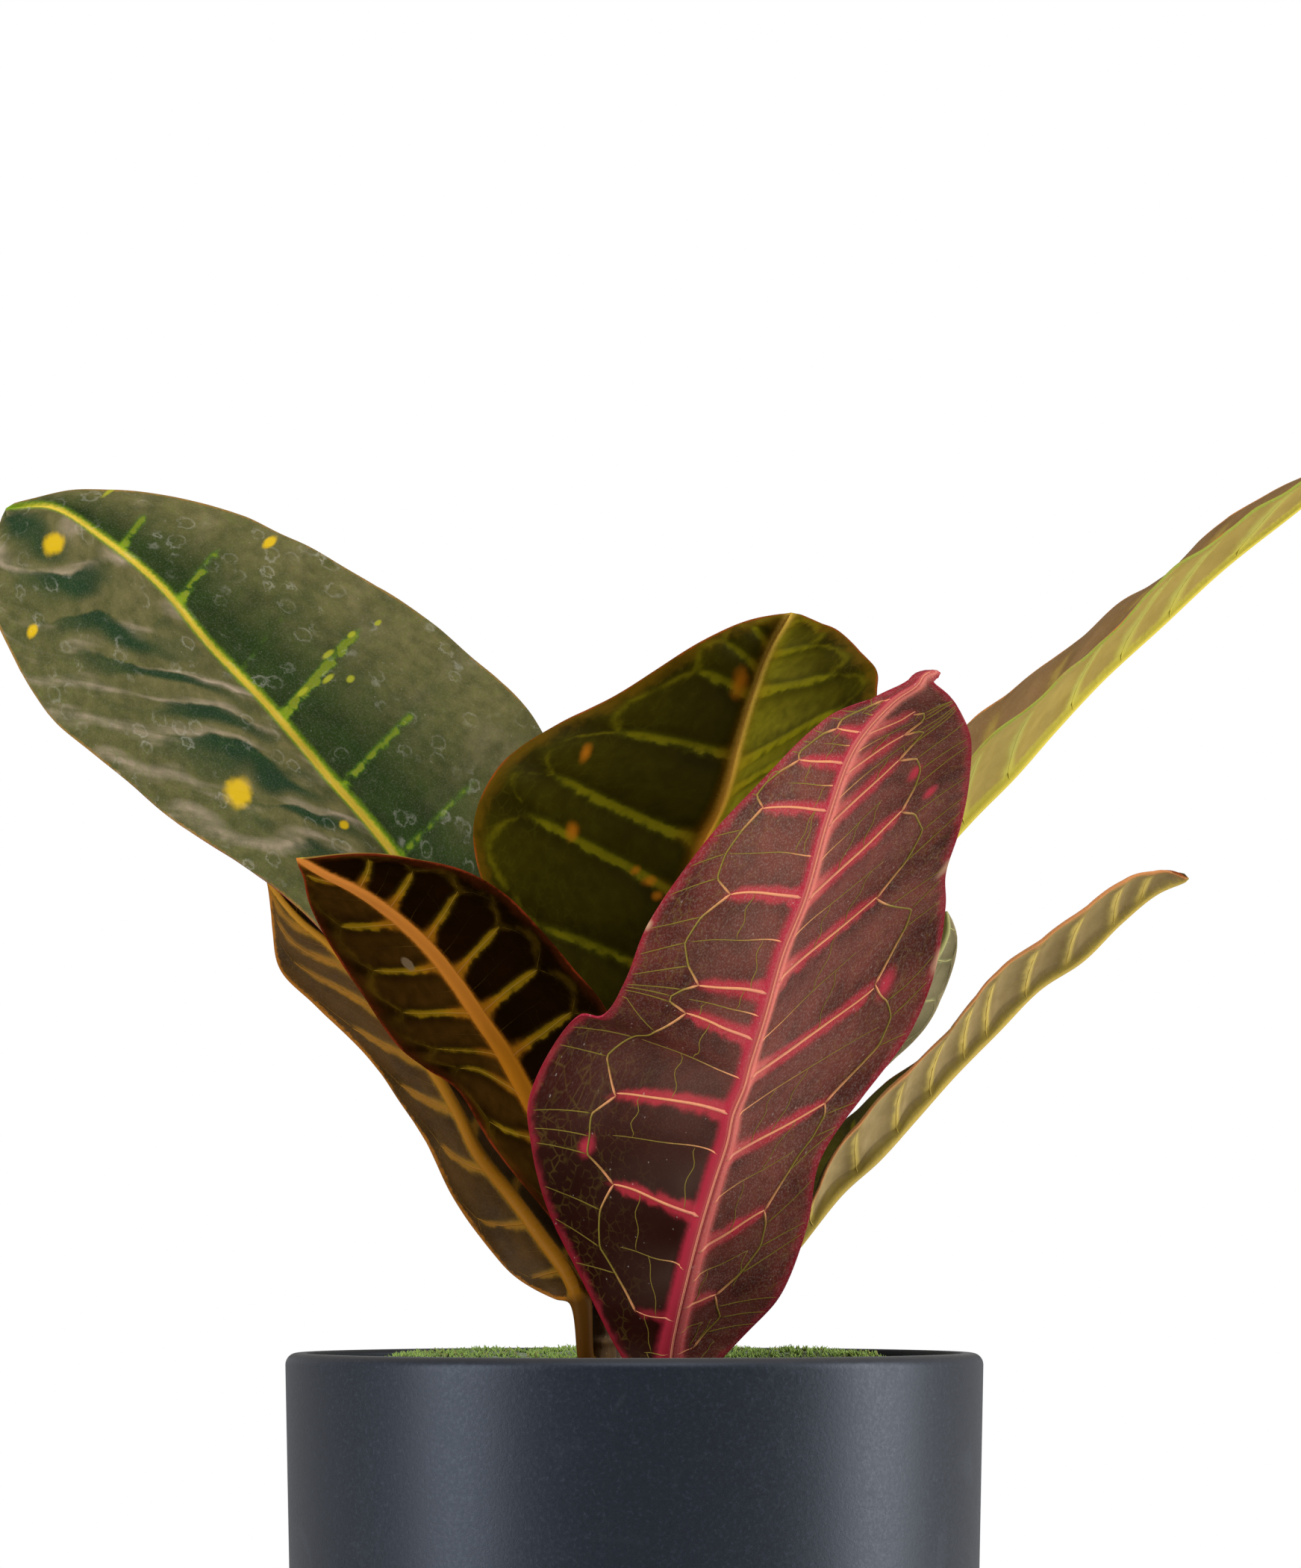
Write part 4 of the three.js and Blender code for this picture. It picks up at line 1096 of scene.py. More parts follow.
# Leaves whose veins can't be counted: how many there are in each half, and how far they lean to the tip
EVEN_VEINS = {
    "leaf_right_small": (7, 0.09),
    "leaf_rear_left": (10, 0.08),
    "leaf_rear_right": (10, 0.08),
}
for name, (count, lean) in EVEN_VEINS.items():
    on_rib = (np.arange(count) + 0.7) / (count + 0.4)
    VEINS[name] = (np.stack([on_rib, on_rib + lean * np.sin(np.pi * on_rib)], axis=1).tolist(),) * 2
print({name: [len(rows) for rows in halves] for name, halves in VEINS.items()}, "side veins")


def vein_table(rows):
    """Columns on_rib, on_margin, strength and fork, with a row of no strength at the base and the tip."""
    full = [row if len(row) == 4 else (*row, *USUAL_VEIN) for row in rows]
    return np.array([(0, 0, 0, 0.5), *full, (1, 1, 0, 0.5)], float).T


# %% Guides of a leaf
STALK_HALF = 1.6
STALK_EASE = 0.4
STALK_LEVEL = 1.8
STALK_SUNK = 1.2


def guide_points(leaves, stalk, rows, level=STALK_LEVEL, **_):
    """All rows (rows, 3 guides, xyz), stalk first, and the share of the way at which the blade begins.

    The stalk leaves the stem square to its axis, sunk a little into the bark, STALK_HALF wide each way.
    """
    rows = np.reshape(rows, (-1, 3, 3))
    across = unit(rows[0, 2] - rows[0, 0])
    centre = np.array([np.interp(leaves, STEM_AXIS[:, 2], STEM_AXIS[:, k]) for k in range(3)])
    radius = np.interp(leaves, STEM_AXIS[:, 2], STEM_RADII)
    first = np.array(stalk[0], float) if stalk else rows[0, 1]
    outwards = unit((first - centre) * [1, 1, 0])
    sideways = np.cross([0, 0, 1], outwards)
    sideways = sideways * np.sign(sideways @ across)
    start = centre + outwards * (radius - STALK_SUNK)
    bend = centre + outwards * (radius + STALK_EASE + level)
    points = [start, bend, *np.array(stalk, float).reshape(-1, 3)]
    widths = [sideways, sideways] + [across] * len(stalk)
    sides = np.array([-1, 0, 1])[:, None] * STALK_HALF
    stalk_rows = np.array([point + sides * width for point, width in zip(points, widths)])
    everything = np.concatenate([stalk_rows, rows])
    return everything, len(stalk_rows) / (len(everything) - 1)


# %% Grid shares over a leaf
ROW_STEP = 0.75
COLUMN_STEP = 1.0
TIP_ROUND = 2.6


def grid_shares(guides, width):
    """Shares t spaced evenly in mm along the midrib, and shares a that crowd at rib and margins."""
    dense = np.linspace(0, 1, 3001)
    path = curve_through(guides[:, 1], dense)
    length = np.concatenate([[0], np.cumsum(np.linalg.norm(np.diff(path, axis=0), axis=1))])
    rows = int(length[-1] / ROW_STEP)
    reached = np.linspace(0, length[-1], rows)
    t = np.interp(reached, length, dense)
    columns = int(10 + width / 2 / COLUMN_STEP)
    half = smooth_step(0, 1, np.linspace(0, 1, columns + 1))
    a = np.concatenate([-half[:0:-1], half])
    to_tip = np.minimum(1, (length[-1] - reached) / TIP_ROUND)
    rounding = np.sqrt(1 - (1 - to_tip) ** 2) * 0.94 + 0.06
    return t, a, reached, rounding


# %% The phase over one half of a leaf
VEIN_BEND = 1.15
FORK_FADE = 0.12
ARC_RISE = 0.16


def vein_shares(table, share):
    """Where each vein lies along the blade at shares across (n,): rib + (margin - rib) share to a power."""
    lines = table[0] + (table[1] - table[0]) * np.abs(share)[:, None] ** VEIN_BEND
    return np.maximum.accumulate(lines, axis=1)


def vein_phase(table, blade_share, a):
    """Phase, strength fading past the fork, and share past the loop, at shares along and across (a)."""
    numbers = np.arange(table.shape[1])
    phase = np.stack([np.interp(blade_share, line, numbers) for line in vein_shares(table, a)], axis=1)
    strength, fork = (np.interp(phase, numbers, column) for column in table[2:])
    arc = fork + ARC_RISE * np.abs(np.sin(np.pi * phase))
    fading = smooth_step(fork - FORK_FADE, fork + FORK_FADE, np.abs(a))
    return phase, strength * (1 - fading), np.abs(a) - arc


def spacing_of(phase, points):
    """Distance between veins in mm: 1 over the phase's slope on the surface.

    With surface steps u, v along the grid: slope squared = (G Pu^2 - 2 F Pu Pv + E Pv^2) / (E G - F^2).
    """
    u, v = np.gradient(points, axis=0), np.gradient(points, axis=1)
    e, f, g = (u * u).sum(2), (u * v).sum(2), (v * v).sum(2)
    pu, pv = np.gradient(phase)
    slope = (g * pu**2 - 2 * f * pu * pv + e * pv**2) / np.maximum(e * g - f**2, 1e-9)
    return np.clip(1 / np.sqrt(np.maximum(slope, 1e-6)), 0.3, 40)


# %% [markdown]
# ### The blade as a solid
#
# The blade is 0.5 mm thick and rounds off at its margins. Between two veins it swells towards the upper
# side, like a quilt. The midrib is a rounded keel below and a shallow groove above. The stalk is round, and
# over the first centimetre its section eases into the blade's. Two offset copies of the surface, one above
# and one below, close at the margins into one loop for each row, and the loops make one closed body.

# %% Blade sizes
BLADE_HALF = 0.25
EDGE_ROUND = 0.3
STALK_DEPTH = 1.5
ARCH = 0.07
WAVE = 0.5
WAVES = 4
WAVE_SHIFT = 0.35
EASE_WITHIN = 0.15
FLAT_WITHIN = 0.06
FLARE_WITHIN = 0.07
KEEL_TAPER = 0.72
GROOVE = 0.25
TANGENT_STEP = 1e-3


def blade_surface(guides, blade_start, underside, t, a, rounding):
    """Points of the surface (rows, columns, 3), the way it faces, and distances to the midrib and margins.

    Point = rib + (margin - rib) |a| + face * (arch + wave). The arch is a parabola over each half, and the
    wave is sin(2 pi (waves t + shift)) sin(pi t) a squared, so it grows from the midrib to the margin.
    """
    left, rib, right = (curve_through(guides[:, k], t) for k in range(3))
    ends = np.clip([t - TANGENT_STEP, t + TANGENT_STEP], 0, 1)
    steps = [[curve_through(guides[:, k], end) for end in ends] for k in range(3)]
    along = [unit(after - before) for before, after in steps]
    face = unit(np.cross(right - left, along[1]))[:, None]
    on_right = (a >= 0)[None, :, None]
    margin = np.where(on_right, right[:, None], left[:, None])
    margin_along = np.where(on_right, along[2][:, None], along[0][:, None])
    size = np.abs(a) * rounding[:, None]
    reach = np.linalg.norm(margin - rib[:, None], axis=2)
    eased = smooth_step(blade_start, blade_start + EASE_WITHIN, t)[:, None]
    arch = -underside * ARCH * reach * 4 * size * (1 - size)
    turns = WAVES * t[:, None] + np.where(a < 0, 0, WAVE_SHIFT)
    wave = WAVE * np.sin(2 * np.pi * turns) * np.sin(np.pi * t)[:, None] * size**2
    lifted = face * (eased * (arch + wave))[..., None]
    points = rib[:, None] + (margin - rib[:, None]) * size[..., None] + lifted
    from_rib = np.linalg.norm(np.cross(points - rib[:, None], along[1][:, None]), axis=2)
    to_margin = np.linalg.norm(np.cross(margin - points, margin_along), axis=2)
    return points, face, from_rib, to_margin


def looped(front, behind):
    """Rows (rows, columns, ...) over the front from margin to margin and back behind, as closed loops."""
    return np.concatenate([front, behind[:, -2:0:-1]], axis=1)


# %% A leaf's grid
def blade_grid(name, leaf):
    """A leaf's surface as a grid, with its distances in mm and its veins' phase and spacing, by name."""
    guides, start = guide_points(**leaf)
    width = np.linalg.norm(guides[:, 2] - guides[:, 0], axis=1).max()
    t, a, reached, rounding = grid_shares(guides, width)
    blade = SimpleNamespace(t=t, a=a, start=start, underside=leaf["underside"])
    surface = blade_surface(guides, start, blade.underside, t, a, rounding)
    blade.points, blade.face, blade.from_rib, blade.to_margin = surface
    blade.share = np.abs(a)[None, :] + 0 * blade.from_rib
    blade.reached = reached[:, None] + 0 * blade.share
    blade.rounding = rounding[:, None]
    blade.along = (t - start) / (1 - start)
    blade.flat = smooth_step(start, start + FLAT_WITHIN, t)[:, None]
    middle = len(a) // 2
    halves = [(slice(None, middle), VEINS[name][0]), (slice(middle, None), VEINS[name][1])]
    parts = [vein_phase(vein_table(rows), blade.along, a[columns]) for columns, rows in halves]
    spacing = [spacing_of(part[0], blade.points[:, columns]) for part, (columns, _) in zip(parts, halves)]
    blade.phase, blade.strength, blade.past_arc = (np.concatenate(pair, axis=1) for pair in zip(*parts))
    blade.spacing = np.concatenate(spacing, axis=1)
    return blade


# %% Swell and thickness
# Height and size in mm of the skin's slow swells and fine ripples, and of the waves of the edge
SKIN_SWELL = (0.55, 11)
SKIN_RIPPLE = (0.05, 3.5)
EDGE_WAVE = (0.7, 8)
FULL_SWELL_FROM = 7


def swollen(blade, look, seed):
    """Points lifted off the surface: a panel by |sin(pi phase)|, then the uneven skin and the edge's waves.

    Where two veins are closer than FULL_SWELL_FROM, the panel between them is lower in proportion.
    """
    from_rib, share, side = blade.from_rib, blade.share, np.sign(blade.a)
    panel = np.abs(np.sin(np.pi * blade.phase))
    beside_rib = smooth_step(0.3, look["quilt_from"], from_rib)
    beside_edge = 1 - 0.75 * smooth_step(0.7, 1, share)
    quilt = np.where(blade.a < 0, *look["quilt"])[None, :]
    swell = quilt * panel * beside_rib * beside_edge * np.minimum(1, blade.spacing / FULL_SWELL_FROM)
    place = np.stack([blade.reached, side * from_rib, seed + 0 * share], axis=2)
    uneven = SKIN_SWELL[0] * rough(place, SKIN_SWELL[1]) + SKIN_RIPPLE[0] * rough(place, SKIN_RIPPLE[1])
    at_edge = place * [1, 0, 1] + [0, 40, 0] * side[:, None]
    edge_wave = EDGE_WAVE[0] * rough(at_edge, EDGE_WAVE[1]) * share**4
    uneven = (uneven * smooth_step(0.8, 4, from_rib) + edge_wave) * blade.rounding
    offset = -blade.underside * swell + uneven
    return blade.points + blade.face * (offset * blade.flat)[..., None]


def thick(blade, look):
    """Front, behind and normal: the points moved both ways by half the thickness.

    The thickness rounds off to the margin as a quarter circle. The keel is half an ellipse on the underside
    and the groove a bell on the upper side. The stalk's section is an ellipse.
    """
    points, from_rib = blade.points, blade.from_rib
    normal = unit(np.cross(np.gradient(points, axis=1), np.gradient(points, axis=0)))
    rounded = np.sqrt(1 - (1 - np.minimum(1, blade.to_margin / EDGE_ROUND)) ** 2)
    stalk_half = STALK_DEPTH * np.sqrt(np.maximum(0, 1 - blade.a**2)) + 0 * blade.share
    half = stalk_half + (BLADE_HALF * rounded - stalk_half) * blade.flat
    keel_half = look["keel"][0] * (1 - KEEL_TAPER * blade.along)[:, None]
    keel_rise = look["keel"][1] * keel_half
    keel = keel_rise * np.sqrt(np.maximum(0, 1 - (from_rib / keel_half) ** 2)) * blade.flat
    groove = GROOVE * np.exp(-((from_rib / keel_half) ** 2)) * blade.flat
    above, below = (keel, -groove) if blade.underside > 0 else (-groove, keel)
    ends = blade.rounding**0.5
    front = points + normal * ((half + above) * ends)[..., None]
    behind = points - normal * ((half + below) * ends)[..., None]
    return front, behind, normal


# %% What a leaf's points carry, and its body
NEAR_MARGIN = 0.9999


def skin_fields(blade, look):
    """Vectors at each point: place in mm, phase and spacing of the veins, width of their shine, and loops.

    The shine's half width runs from root to fork with the square of the way back, flares at the midrib as a
    bell, and shrinks with the vein's strength.
    """
    share = blade.share
    at_root, at_fork = look["bloom"]
    flare = look["flare"] * np.exp(-((share / FLARE_WITHIN) ** 2))
    bloom = at_fork + (at_root - at_fork) * (1 - share) ** 2 + flare
    strength = blade.strength ** look["contrast"] * blade.flat
    bloom = bloom * np.minimum(1, strength) ** look["taper"] * blade.flat
    upper = np.where(share > NEAR_MARGIN, 0, -blade.underside)
    along = blade.along[:, None] + 0 * share
    place = np.stack([np.sign(blade.a) * blade.from_rib, blade.reached, blade.to_margin], axis=2)
    veins = np.stack([blade.phase, blade.spacing, share], axis=2)
    vigour = [np.stack([bloom, side, along], axis=2) for side in (upper, -upper)]
    reach = np.abs(blade.from_rib / np.maximum(share, 0.05))
    arcs = np.stack([strength, blade.past_arc * reach, 0 * share], axis=2)
    sides = [(place, place), (veins, veins), vigour, (arcs, arcs)]
    names = ("leaf_place", "leaf_veins", "leaf_vigour", "leaf_arcs")
    return {name: looped(*both) for name, both in zip(names, sides)}


def leaf_body(name, leaf, look, seed):
    """The loops of points, the fields on them, and the underside's grid, on which the veins are laid."""
    blade = blade_grid(name, leaf)
    blade.points = swollen(blade, look, seed)
    front, behind, normal = thick(blade, look)
    points = front if blade.underside > 0 else behind
    below = dict(t=blade.t, a=blade.a, start=blade.start, points=points, out=normal * blade.underside)
    return looped(front, behind), skin_fields(blade, look), below


# %% [markdown]
# ### Raised veins
#
# Below, the veins stand out as fine rounded cords. They are laid first as lines in phase and share across,
# where a vein is simply a line of constant phase and a loop is an arc between two forks. The phase and
# share of each point are then looked up on the underside's grid, so that a cord follows every swell of the
# blade, and a small tube is wrapped round it, a third sunk in the skin.

# %% Lines of the veins over one half
LINE_POINTS = 40
FIRST_SHARE = 0.012
LAST_SHARE = 0.97
SWAY = 0.02
LOOP_MOST = 0.93
VEIN_RADIUS = 0.27
NET_RADIUS = 0.13
CROSSINGS = 2
BENDS = np.array([0, 0.24, 0.5, 0.78, 1])
BENDS_OUT = np.array([0, 0.12, 0.16, 0.1, 0])


def half_lines(table, look):
    """Lines as columns: phase, share across, radius in mm, and age from 0 at the rib to 1 in the net.

    A vein's phase is its number with a slow sway. A loop goes straight from bend to bend between two forks,
    each bend pushed outwards by BENDS_OUT, and spurs leave the bends for the margin. Thin veins start half
    way between the strong ones and end at a loop, and short crossings join them.
    """
    s = np.linspace(0, 1, LINE_POINTS)
    count = table.shape[1] - 2
    strengths, forks = table[2:, 1:-1]
    ends = np.full(count + 1, 0.5)
    net_radius = look["loops"] * NET_RADIUS
    lines = []

    def lay(phase, share, radius, age):
        """Adds a line, with numbers that are the same all along it spread over its points."""
        lines.append(np.stack(np.broadcast_arrays(phase + 0 * s, share, radius, age), axis=1))

    for number, strength, fork in zip(range(1, count + 1), strengths, forks):
        sway = SWAY * s * np.sin(6 * s + rng.uniform(0, 2 * np.pi))
        share = FIRST_SHARE + (fork - FIRST_SHARE) * s
        lay(number + sway, share, VEIN_RADIUS * strength * (1.15 - 0.5 * s), 0.45 * s**1.5)
    for number in range(1, count):
        turns = number + BENDS + rng.uniform(-0.05, 0.05, 5) * (BENDS_OUT > 0)
        shares = forks[number - 1] + (forks[number] - forks[number - 1]) * BENDS
        shares = np.minimum(shares + BENDS_OUT * rng.uniform(0.7, 1.3, 5), LOOP_MOST)
        ends[number] = shares[2]
        middle = np.sin(np.pi * s)
        radius = net_radius * (1.6 - 0.6 * middle)
        lay(np.interp(s, BENDS, turns), np.interp(s, BENDS, shares), radius, 0.45 + 0.4 * middle)
        for turn, share in zip(turns[1:4], shares[1:4]):
            lean = rng.uniform(-0.1, 0.25) * s
            lay(turn + lean, share + (LAST_SHARE - share) * s, net_radius * (0.75 - 0.3 * s), 1)
    for number in range(count):
        wander = 0.5 + SWAY * np.sin(8 * s + rng.uniform(0, 2 * np.pi)) * (1 - s)
        share = 0.02 + (ends[number] * rng.uniform(0.6, 1.0) - 0.02) * s
        lay(number + wander, share, net_radius * (0.85 - 0.45 * s), 0.3 + 0.7 * s**0.6)
        for near in rng.uniform(0.12, 0.5, CROSSINGS):
            start = number + rng.choice([0.0, 0.5])
            jag = 0.012 * np.sin(11 * s + rng.uniform(0, 2 * np.pi))
            lay(start + 0.5 * s, near + rng.uniform(-0.02, 0.1) * s + jag, net_radius * 0.55, 1)
    return lines


# %% Lines laid on the underside
CORD_STEP = 0.85
# The cord on a midrib: its radius, the shares of the blade that it runs between, and its points
THREAD_RADIUS = 0.24
THREAD_SPAN = (0.02, 0.93)
THREAD_POINTS = 300


def on_grid(grid, rows, columns):
    """Values of a grid (rows, columns, ...) at fractional places, blended from the four points round it."""
    i = np.clip(rows.astype(int), 0, grid.shape[0] - 2)
    j = np.clip(columns.astype(int), 0, grid.shape[1] - 2)
    u, v = (rows - i)[:, None], (columns - j)[:, None]
    low = grid[i, j] * (1 - v) + grid[i, j + 1] * v
    high = grid[i + 1, j] * (1 - v) + grid[i + 1, j + 1] * v
    return low * (1 - u) + high * u


def grid_lines(name, below, look):
    """Each line as columns row, column, radius and age, its points CORD_STEP apart on the surface."""
    row_numbers, column_numbers = np.arange(len(below["t"])), np.arange(len(below["a"]))
    found = []
    for side, rows in zip((-1, 1), VEINS[name]):
        table = vein_table(rows)
        for line in half_lines(table, look):
            phase, share = line[:, 0], line[:, 1]
            k = np.clip(phase.astype(int), 0, table.shape[1] - 2)
            shares = vein_shares(table, share)
            pick = np.arange(len(k))
            blade_share = shares[pick, k] + (shares[pick, k + 1] - shares[pick, k]) * (phase - k)
            t = below["start"] + (1 - below["start"]) * blade_share
            row = np.interp(t, below["t"], row_numbers)
            column = np.interp(side * share, below["a"], column_numbers)
            found.append(np.stack([row, column, line[:, 2] * look["cord"], line[:, 3]], axis=1))
    if look["thread"]:
        s = np.linspace(*THREAD_SPAN, THREAD_POINTS)
        row = np.interp(below["start"] + (1 - below["start"]) * s, below["t"], row_numbers)
        middle = np.full(THREAD_POINTS, len(below["a"]) // 2)
        found.append(np.stack([row, middle, THREAD_RADIUS * (1 - 0.6 * s), 0 * s], axis=1))
    spaced = []
    for line in found:
        points = on_grid(below["points"], line[:, 0], line[:, 1])
        length = np.concatenate([[0], np.cumsum(np.linalg.norm(np.diff(points, axis=0), axis=1))])
        even = np.linspace(0, length[-1], max(4, int(length[-1] / CORD_STEP)))
        spaced.append(np.stack([np.interp(even, length, column) for column in line.T], axis=1))
    return spaced


# %% Cords
CORD_SIDES = 5
CORD_SUNK = 0.35
CORD_END = 0.4


def cord_mesh(below, lines):
    """Points, quads, triangles and ages of all cords. A ring = centre + radius (cos side + sin up)."""
    angle = np.linspace(0, 2 * np.pi, CORD_SIDES, endpoint=False)[None, :, None]
    points, quads, ends, ages, start = [], [], [], [], 0
    for row, column, radius, age in (line.T for line in lines):
        centre = on_grid(below["points"], row, column)
        out = unit(on_grid(below["out"], row, column))
        along = unit(np.gradient(centre, axis=0))
        side = unit(np.cross(along, out))
        up = np.cross(side, along)
        radius = radius * np.where(np.arange(len(row)) % (len(row) - 1) == 0, CORD_END, 1)
        centre = centre - out * (CORD_SUNK * radius)[:, None]
        around = np.cos(angle) * side[:, None] + np.sin(angle) * up[:, None]
        rings = centre[:, None] + radius[:, None, None] * around
        sides, fans = ring_faces(*rings.shape[:2])
        points.append(ring_points(rings))
        ages.append(ring_points(np.repeat(age[:, None], CORD_SIDES, axis=1)))
        quads.append(sides + start)
        ends.append(fans + start)
        start += len(points[-1])
    return *map(np.concatenate, (points, quads, ends)), {"age": np.concatenate(ages)}


# %% [markdown]
# ### Colours of the leaves
#
# Under the skin of a croton leaf lie green, yellow and red pigments, and each leaf shows another mix: new
# ones are yellow and green, old ones maroon and nearly black. The two sides of a leaf differ, so each has
# its own set of colours, and the same nodes draw both.

# %% Leaf colours
# shade and light mottle the panels, and shade alone is painted shade where a base lies in the shade
# of others. The third colour is painted sheen on their swell, partly wax bloom. root and vein are a vein at
# the midrib and further out, and glow is what shines round it. rib and tip are the midrib at its base and
# its end, border and the colour after it the strips on its left and right, the right one painted lighter as
# the midrib's lit side, hem and margin the broad and the narrow line along the edge, and net the finest
# veins
COLOUR_KEYS = "shade light veil root vein glow rib tip border band hem margin net".split()


def palette(codes):
    """A leaf side's colours by name, from hex codes in the order of COLOUR_KEYS."""
    return dict(zip(COLOUR_KEYS, ["#" + code for code in codes.split()], strict=True))


GREEN_UPPER = palette(
    "10200a 1a2e0e 5f5836 8a8420 767818 3c5c14 c0a438 c4a83c 708e14 708e14 453a1c 7c5c2a 4b5624"
)
DUSKY_UNDER = palette(
    "3c241e 523228 6c5a4c a87c4c a07848 5e2e24 b07c4c b07c4c 7c3e30 7c3e30 5a3026 8a3a34 5c4c2c"
)
MAROON_UNDER = palette(
    "200604 52201a 6f3a30 c08058 c08058 92202e b8705a b46c54 8c2030 b46054 80202c 74101f 6e6022"
)
MAROON_UPPER = palette(
    "1c120a 34190f 503a32 a84840 a84840 6a1c26 b84850 b84850 7c2430 7c2430 5a1c20 8a1830 403a14"
)
OLIVE_UPPER = palette(
    "140f00 1e1800 5a540c 807410 6a6208 3a3804 965e08 b4923e 5c3c04 64500a 4c3604 7a340c 3a3606"
)
DARK_UNDER = palette(
    "080300 100601 3c2608 94600c 70560a 2c2004 804e0e a06228 643a0a 643a0a 301204 682410 2c2206"
)
BROWN_UNDER = palette(
    "180e02 342206 543618 92600e 785010 3c2a08 784c08 8c6014 684a10 684a10 463010 845010 443410"
)
KHAKI_UNDER = palette(
    "7a6628 947e3c 9c8c54 a8a44c a09c4c 948e42 c0b040 c0b040 b0a43c b0a43c 8c8038 7c8830 8c8438"
)
BRONZE_UPPER = palette(
    "584020 6c5030 7a6244 98802c 8c7834 70582c b0a038 b0a038 88782c 88782c 7c5828 a8682c 746434"
)
OCHRE_UNDER = palette(
    "584620 7e6a40 aa966a c0a44c bca454 98864a a89040 a89040 928038 928038 a07440 b87848 887c30"
)
GREY_UNDER = palette(
    "5c5438 70684a 8a8262 9a9460 9a9460 70704e 9a9860 9a9860 7c7a56 7c7a56 746a4c 7c7050 6c684a"
)

# %% What a usual leaf looks like
# Sizes are in mm. Where a key has two values, they are for the left half and the right half of the leaf,
# unless its comment says otherwise.
USUAL_LOOK = dict(
    # The keel's half width and its rise as a share of that, and the panels' swell, in full this far out
    keel=(1.35, 0.95),
    quilt=(0.45, 0.45),
    quilt_from=4,
    # Half widths and blurs of the midrib and of the strips beside it, the strips' strength, and the share of
    # the blade at which the midrib's own colour ends
    rib=0.9,
    rib_soft=0.6,
    border=1.8,
    soft=1.0,
    beside=0.9,
    rib_ends=1.1,
    # A side vein's shine: half width at root and fork, extra width at the root, strength round the vein, on
    # it and beside the midrib, how broken and ragged it is, the power that its strength is raised to, the
    # power that narrows it where it is weak, and the strength of the loops
    bloom=(0.8, 0.4),
    flare=0.4,
    glow=0.8,
    core=0.7,
    root=0.5,
    broken=0.2,
    ragged=0.3,
    contrast=1,
    taper=0.35,
    arcs=0.0,
    # Widths of the broad and the narrow line along the edge
    hem=0.0,
    margin=0.6,
    # Raised veins: thickness of the cords and of their net as shares of the usual, and a cord on the midrib
    cord=0.7,
    loops=0.7,
    thread=False,
    # Painted sheen, partly wax bloom: its amount near the midrib and near the margin, and what is left of it
    # in the sunk edges; the strength of the pockets' painted shade; where the left half's base leaves its
    # painted shade; and dust: its film, and rings of drops
    veil=(0.3, 0.3),
    edge_painted_sheen=(0.3, 0.3),
    sunk_painted_sheen=0.25,
    pockets=0.0,
    shaded_base=(-2.0, -1.0),
    dust=0.04,
    rings=0.0,
    # Strength of the painted net, blur of the spots, darkness of the tip, gloss and roughness of the skin
    net=0.3,
    spot_soft=0.4,
    tip_shade=0.0,
    gloss=0.1,
    roughness=0.42,
)
print("a look has", len(USUAL_LOOK), "values of its own")

